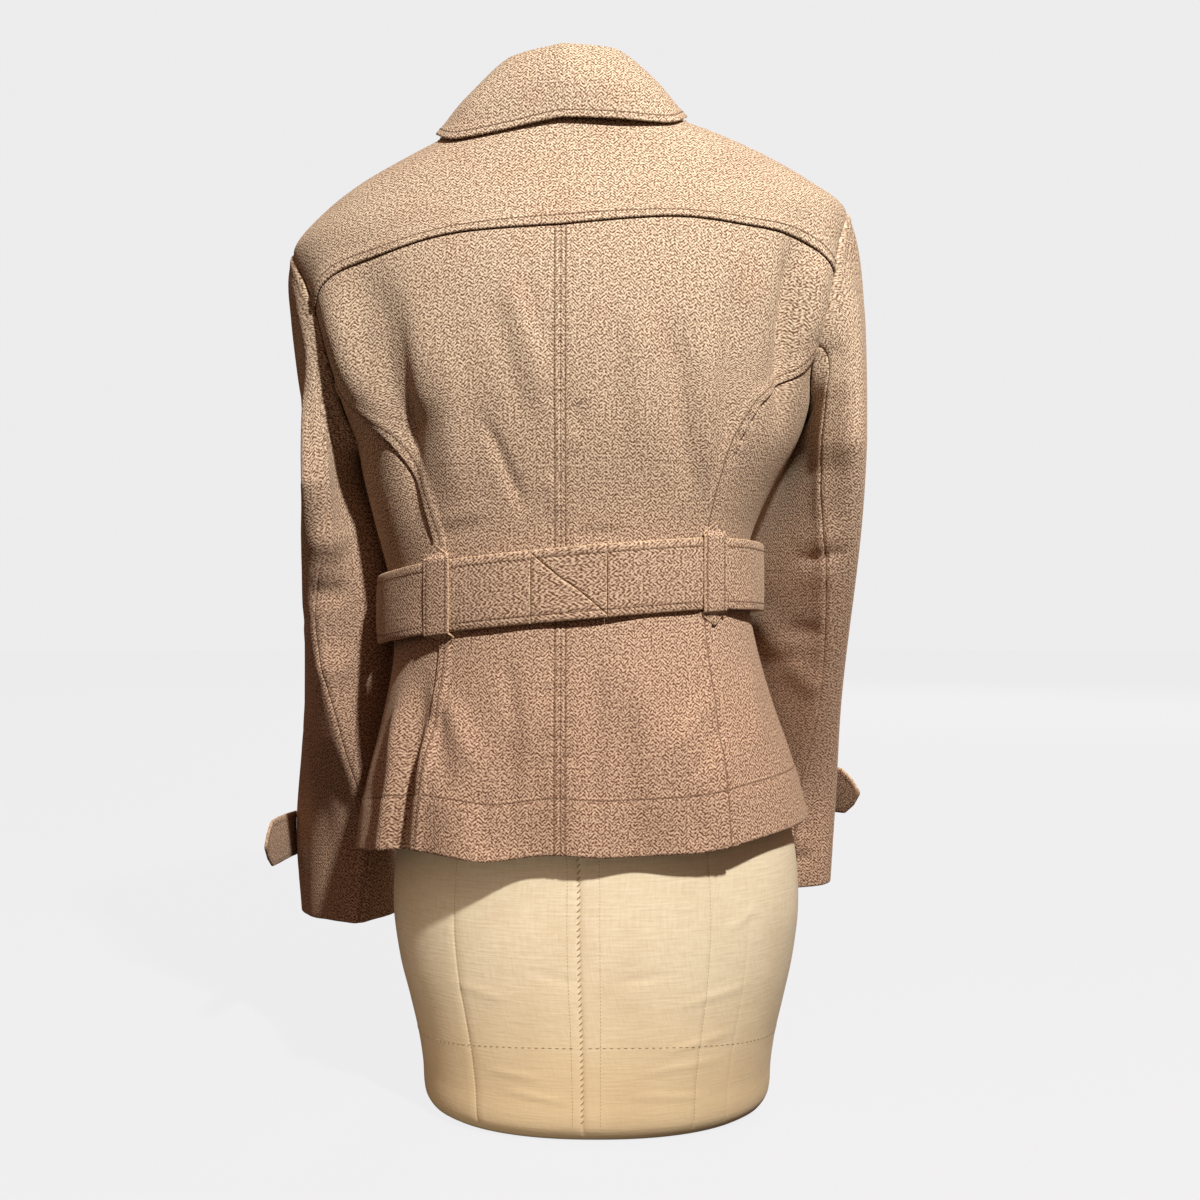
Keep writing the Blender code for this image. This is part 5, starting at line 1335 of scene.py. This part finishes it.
# Belt pieces: node, first and last angle, columns, lower and upper edge, whether it laps over, stitched edges
BELT_PIECES = [
    ("belt_left", -186.0, block_left_angle - seam_angle, 150, full_low, full_high, 0, (2, 3)),
    ("belt_right", block_right_angle + seam_angle, BELT_END_ANGLE, 170,
     lambda angle: -pointed(angle), pointed, 1, (2, 3)),
    ("belt_block_upper", block_left_angle + seam_angle, block_right_angle - seam_angle, 26,
     lambda angle: diagonal(angle, SEAM_GAP), full_high, 0, (3,)),
    ("belt_block_lower", block_left_angle + seam_angle, block_right_angle - seam_angle, 26, full_low,
     lambda angle: diagonal(angle, -SEAM_GAP), 0, (2,)),
]
for node, first, last, count, low, high, passes_over, stitched in BELT_PIECES:
    angle, up = np.broadcast_arrays(mix(first, last, shares(count))[None, :], shares(BELT_ROWS)[:, None])
    lift = belt_end_rise(angle) if passes_over else np.zeros(angle.shape)
    points, normals = belt_line(angle, lift + BELT_CLOTH)
    level = mix(low(angle), high(angle), up)
    points = points + STRAIGHT_UP * level[..., None]
    edges = edge_distances(points)
    from_edge = np.minimum(BELT_HALF_HEIGHT - level, level + BELT_HALF_HEIGHT)
    wave = 0.0008 * np.sin(angle / 9.0 + 1.0) + 0.0006 * np.sin(angle / 4.3)
    rise = wave * (level / BELT_HALF_HEIGHT) ** 2 - 0.0006 * hump(from_edge - BELT_STITCH, 0.0009)
    rise += 0.0005 * smooth(0.0, 0.004, from_edge)
    piece, outer = shell(node + "_cloth", points, normals, rise, np.full(rise.shape, BELT_CLOTH),
                         np.stack([level, np.radians(angle) * WAIST_RADIUS], -1),
                         edged_tweed, from_edge - BELT_STITCH)
    rows_of_thread = topstitch(node + "_stitching", [
        line_at(outer, normals, edges[number], BELT_STITCH, by_column=True) for number in stitched])
    sew(piece, node, points, [rows_of_thread])

# Belt loops: straps over the belt at the side-back seams, with pointed ends sewn down above and below it.
# Each is doubled tweed, topstitched along both long edges.
# Loop: distance above the belt's middle, half width, 0 on the jacket and 1 over the belt
LOOP = [
    (-0.0388, 0.0012, 0), (-0.0312, 0.0106, 0), (-0.0276, 0.0108, 1), (0.0, 0.0110, 1),
    (0.0276, 0.0108, 1), (0.0312, 0.0106, 0), (0.0388, 0.0012, 0),
]
LOOP_REST = {LEFT: 0.0007, RIGHT: 0.0012}
LOOP_OVER = 0.0004
LOOP_RADIUS = 0.120
LOOP_STITCH = 0.0030
LOOP_BRIDGE_LOW, LOOP_BRIDGE_HIGH = 0.0276, 0.0318
LOOP_HEIGHT = 0.4085
LOOP_GRID = (18, 60)
# Rows of the grid at each pointed end, which the stitching leaves out
LOOP_POINT_ROWS = 9
for side, label in SIDES:
    seam_place = float(side_back_seam(side, np.array([LOOP_HEIGHT]))[0, 0])
    middle_height = float(columns_of(BELT, seam_place)[0])
    level = mix(LOOP[0][0], LOOP[-1][0], shares(LOOP_GRID[1]))[:, None]
    half = straight_table(LOOP, level)
    over = (shares(LOOP_GRID[0]) * 2 - 1)[None, :]
    angle = seam_place + over * np.degrees(half / LOOP_RADIUS)
    level = np.broadcast_to(level, angle.shape)
    on_belt, flat = belt_line(angle, np.full(angle.shape, BELT_CLOTH + LOOP_OVER))
    on_belt = on_belt + STRAIGHT_UP * level[..., None]
    on_jacket = hang(bare_body(angle, middle_height + level)
                     + body_normal(angle, middle_height + level) * LOOP_REST[side])
    bridge = 1 - smooth(LOOP_BRIDGE_LOW, LOOP_BRIDGE_HIGH, np.abs(level))
    points = mix(on_jacket, on_belt, bridge[..., None]) + flat * CLOTH
    normals = grid_normals(points)
    normals = normals * np.sign((normals * flat).sum(-1).mean())
    edges = edge_distances(points)
    rise = -0.0005 * (hump(edges[0] - LOOP_STITCH, 0.0008) + hump(edges[1] - LOOP_STITCH, 0.0008))
    piece, outer = shell("loop_%s_cloth" % label, points, normals, rise, np.full(rise.shape, CLOTH),
                         np.stack([over * half, level], -1), edged_tweed,
                         nearest_row(edges[0] - LOOP_STITCH, edges[1] - LOOP_STITCH))
    straight = slice(LOOP_POINT_ROWS, -LOOP_POINT_ROWS)
    rows_of_thread = topstitch("loop_%s_stitching" % label, [
        line_at(outer[straight], normals[straight], edge[straight], LOOP_STITCH) for edge in edges[:2]])
    sew(piece, "loop_%s" % label, points, [rows_of_thread])

# Front buttons: four-hole discs of brown horn-like plastic, sewn on the right front's edge.
# Each is turned with a raised rim round a dished middle.
# Buttons: height, how far each is pressed into the lapped front's own curve
BUTTONS = [(0.640, -0.0001), (0.582, 0.0006), (0.524, -0.0003), (0.466, -0.0007)]
BUTTON_RADIUS, BUTTON_THICKNESS = 0.0100, 0.0040
# Button profile: share of the radius, share of the thickness
BUTTON_PROFILE = [
    (0.00, 0.60), (0.45, 0.62), (0.62, 0.70), (0.74, 0.94), (0.84, 1.00), (0.94, 0.92), (1.00, 0.66),
    (1.00, 0.34), (0.94, 0.08), (0.84, 0.00), (0.00, 0.00),
]
BUTTON_SIDES = 48
BUTTON_SEAT = 0.0004
# Threads that tie a button down: half length, distance from its middle, height as a share of its thickness
TIE_HALF_LENGTH, TIE_SHIFT, TIE_HEIGHT = 0.0016, 0.0013, 0.66
TIE_STITCH = (0.0030, 0.0001, 0.0004)
HORN_DARK, HORN_PALE = (0.045, 0.020, 0.011, 1), (0.20, 0.10, 0.05, 1)
HORN_GRAIN = (90.0, 90.0, 35.0)
horn, tree, surface = new_material("brown_horn", 0.3, 0.0, 0.5)
swirl = noise_node(tree, drawn_out(tree, object_place(tree), HORN_GRAIN), 2.0, 5.0)
mottle = colour_mix(tree, range_node(tree, swirl, 0.35, 0.68), HORN_DARK, HORN_PALE)
tree.links.new(mottle, surface.inputs["Base Color"])
tree.links.new(range_node(tree, swirl, 0.3, 0.7, 0.22, 0.4), surface.inputs["Roughness"])
for number, (height, press) in enumerate(BUTTONS, 1):
    out = body_normal(np.array(180.0), np.array(height))
    seat = hang(bare_body(180.0, height) + out * (FRONT_LAP_RISE + BUTTON_SEAT - press))
    sideways = unit(np.cross(STRAIGHT_UP, out))
    upward = np.cross(out, sideways)
    round_it = np.linspace(0, 2 * np.pi, BUTTON_SIDES, endpoint=False)
    ring = np.cos(round_it)[:, None] * sideways + np.sin(round_it)[:, None] * upward
    points = np.stack([seat + ring * max(size, 0.02) * BUTTON_RADIUS + out * up * BUTTON_THICKNESS
                       for size, up in BUTTON_PROFILE])
    faces = capped_faces(len(BUTTON_PROFILE), BUTTON_SIDES)
    button = mesh_piece("button_%d_horn" % number, points, faces, horn)
    crossing = []
    for shift in (-TIE_SHIFT, TIE_SHIFT):
        ends = np.array([[-TIE_HALF_LENGTH, shift], [TIE_HALF_LENGTH, shift]])
        line = seat + ends[:, :1] * sideways + ends[:, 1:] * upward + out * BUTTON_THICKNESS * TIE_HEIGHT
        crossing.append((line, np.array([out, out])))
    tie = stitches("button_%d_thread" % number, crossing, thread_tan, *TIE_STITCH)
    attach(button, "root")
    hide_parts("button_%d" % number)
    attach(tie, "root")

# Buckle: a plain frame with rounded corners, moulded in the same horn-like plastic as the buttons.
# It holds the belt's overlap at the centre front.
BUCKLE_HALF_WIDTH, BUCKLE_HALF_HEIGHT = 0.0230, 0.0325
BUCKLE_BAR, BUCKLE_DEPTH = 0.0050, 0.0035
BUCKLE_CORNER = 0.006
BUCKLE_SEAT = 0.0004
# Section of the frame's bar: share of the bar's width inward, share of its depth
BAR_SECTION = [
    (0.00, 0.30), (0.00, 0.70), (0.12, 0.93), (0.32, 1.00), (0.68, 1.00), (0.88, 0.93), (1.00, 0.70),
    (1.00, 0.30), (0.88, 0.05), (0.68, 0.00), (0.32, 0.00), (0.12, 0.05),
]
middle, _ = belt_line(np.array(180.0), np.array(BELT_CLOTH + float(belt_end_rise(180)) + BUCKLE_SEAT))
outline = []
for quarter in range(4):
    corner_x = (BUCKLE_HALF_WIDTH - BUCKLE_CORNER) * (1 if quarter in (0, 3) else -1)
    corner_z = (BUCKLE_HALF_HEIGHT - BUCKLE_CORNER) * (1 if quarter in (0, 1) else -1)
    for turn in np.radians(90 * quarter + np.linspace(0, 90, 9)):
        outline.append((corner_x, corner_z, np.cos(turn), np.sin(turn)))
outline = np.array(outline)
rings = []
for inward, depth in BAR_SECTION:
    reach = BUCKLE_CORNER - inward * BUCKLE_BAR
    rings.append(np.stack([middle[0] + outline[:, 0] + outline[:, 2] * reach,
                           np.full(len(outline), middle[1] + depth * BUCKLE_DEPTH),
                           middle[2] + outline[:, 1] + outline[:, 3] * reach], -1))
index = np.arange(len(BAR_SECTION) * len(outline)).reshape(len(BAR_SECTION), len(outline))
index = np.pad(index, ((0, 1), (0, 1)), mode="wrap")
faces = np.stack([index[:-1, :-1], index[1:, :-1], index[1:, 1:], index[:-1, 1:]], -1).reshape(-1, 4)
buckle = mesh_piece("buckle_horn", np.stack(rings), faces, horn)
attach(buckle, "root")
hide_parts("buckle")

# Studio: a wide pale floor that runs into an even pale surround, with a firm key light from the upper right.
# A weak warm surround and a low lamp fill the shade, and a soft lamp lights the front for the other views.
FLOOR_REACH, FLOOR_DROP, FLOOR_SIDES = 9.0, 0.0005, 96
PAPER_DARK, PAPER_PALE = (0.034, 0.034, 0.034, 1), (0.036, 0.036, 0.036, 1)
JACKET_MIDDLE = (0, 0, 0.42)
FLOOR_TONE = (0.836, 0.829, 0.841, 1)
SURROUND_TONE = (0.852, 0.843, 0.853, 1)
FILL_TONE = (1.0, 0.58, 0.40, 1)
FILL_STRENGTH = 0.25
floor_turns = np.linspace(0, 2 * np.pi, FLOOR_SIDES, endpoint=False)
floor_points = np.stack([FLOOR_REACH * np.cos(floor_turns), FLOOR_REACH * np.sin(floor_turns),
                         np.full(FLOOR_SIDES, -FLOOR_DROP)], -1)
paper, tree, surface = speckled_material("pale_paper", 0.95, 0.0, 0.0, 3.0, PAPER_DARK, PAPER_PALE)
glow = add_node(tree, "ShaderNodeLightPath").outputs["Is Camera Ray"]
surface.inputs["Emission Color"].default_value = FLOOR_TONE
tree.links.new(glow, surface.inputs["Emission Strength"])
floor = mesh_piece("studio_floor", floor_points, [list(range(FLOOR_SIDES))], paper)


def add_lamp(name, kind, place, aim, power, colour, **settings):
    """A lamp of one kind, aimed at a point."""
    made = bpy.data.lights.new(name, kind)
    made.energy, made.color = power, colour
    for setting, value in settings.items():
        setattr(made, setting, value)
    lamp = bpy.data.objects.new(name, made)
    lamp.location = place
    lamp.rotation_euler = (Vector(aim) - Vector(place)).to_track_quat("-Z", "Y").to_euler()
    lamp.visible_camera = False
    bpy.context.scene.collection.objects.link(lamp)


add_lamp("key_light", "SPOT", (0.66, -1.54, 2.02), JACKET_MIDDLE, 300.0, (1.0, 0.97, 0.92),
         shadow_soft_size=0.06, spot_size=np.radians(110), spot_blend=0.6)
add_lamp("low_light", "SPOT", (-0.60, -1.20, 0.04), (-0.04, -0.08, 0.065), 23.0, (1.0, 0.88, 0.74),
         shadow_soft_size=0.08, spot_size=np.radians(15), spot_blend=0.5)
add_lamp("front_light", "AREA", (1.5, 4.5, 2.2), JACKET_MIDDLE, 110.0, (1.0, 0.96, 0.91),
         shape="DISK", size=2.0)
world = bpy.data.worlds.new("pale_surround")
world.use_nodes = True
seen = world.node_tree.nodes["Background"]
seen.inputs["Color"].default_value = SURROUND_TONE
tree = world.node_tree
fill_light = add_node(tree, "ShaderNodeBackground", {"Color": FILL_TONE, "Strength": FILL_STRENGTH})
camera_ray = add_node(tree, "ShaderNodeLightPath").outputs["Is Camera Ray"]
either = add_node(tree, "ShaderNodeMixShader", {0: camera_ray, 1: fill_light.outputs[0], 2: seen.outputs[0]})
tree.links.new(either.outputs[0], tree.nodes["World Output"].inputs["Surface"])
bpy.context.scene.world = world
bpy.context.scene.view_settings.view_transform = "Standard"

# Camera: it looks level at the jacket's back from a little over a metre, as the photograph does.
# Its lens frames the whole jacket and form, with the frame's middle near the waist.
CAMERA_DISTANCE = 1.15
CAMERA_HEIGHT = 0.404
FRAME_MIDDLE = (0.0024, 0.0, 0.396)
camera_data = bpy.data.cameras.new("back_view")
camera_data.sensor_width = 36.0
camera_data.lens = 43.1
camera = bpy.data.objects.new("back_view", camera_data)
camera.location = (FRAME_MIDDLE[0], -CAMERA_DISTANCE, CAMERA_HEIGHT)
camera.rotation_euler = (Vector(FRAME_MIDDLE) - camera.location).to_track_quat("-Z", "Y").to_euler()
bpy.context.scene.collection.objects.link(camera)
bpy.context.scene.camera = camera
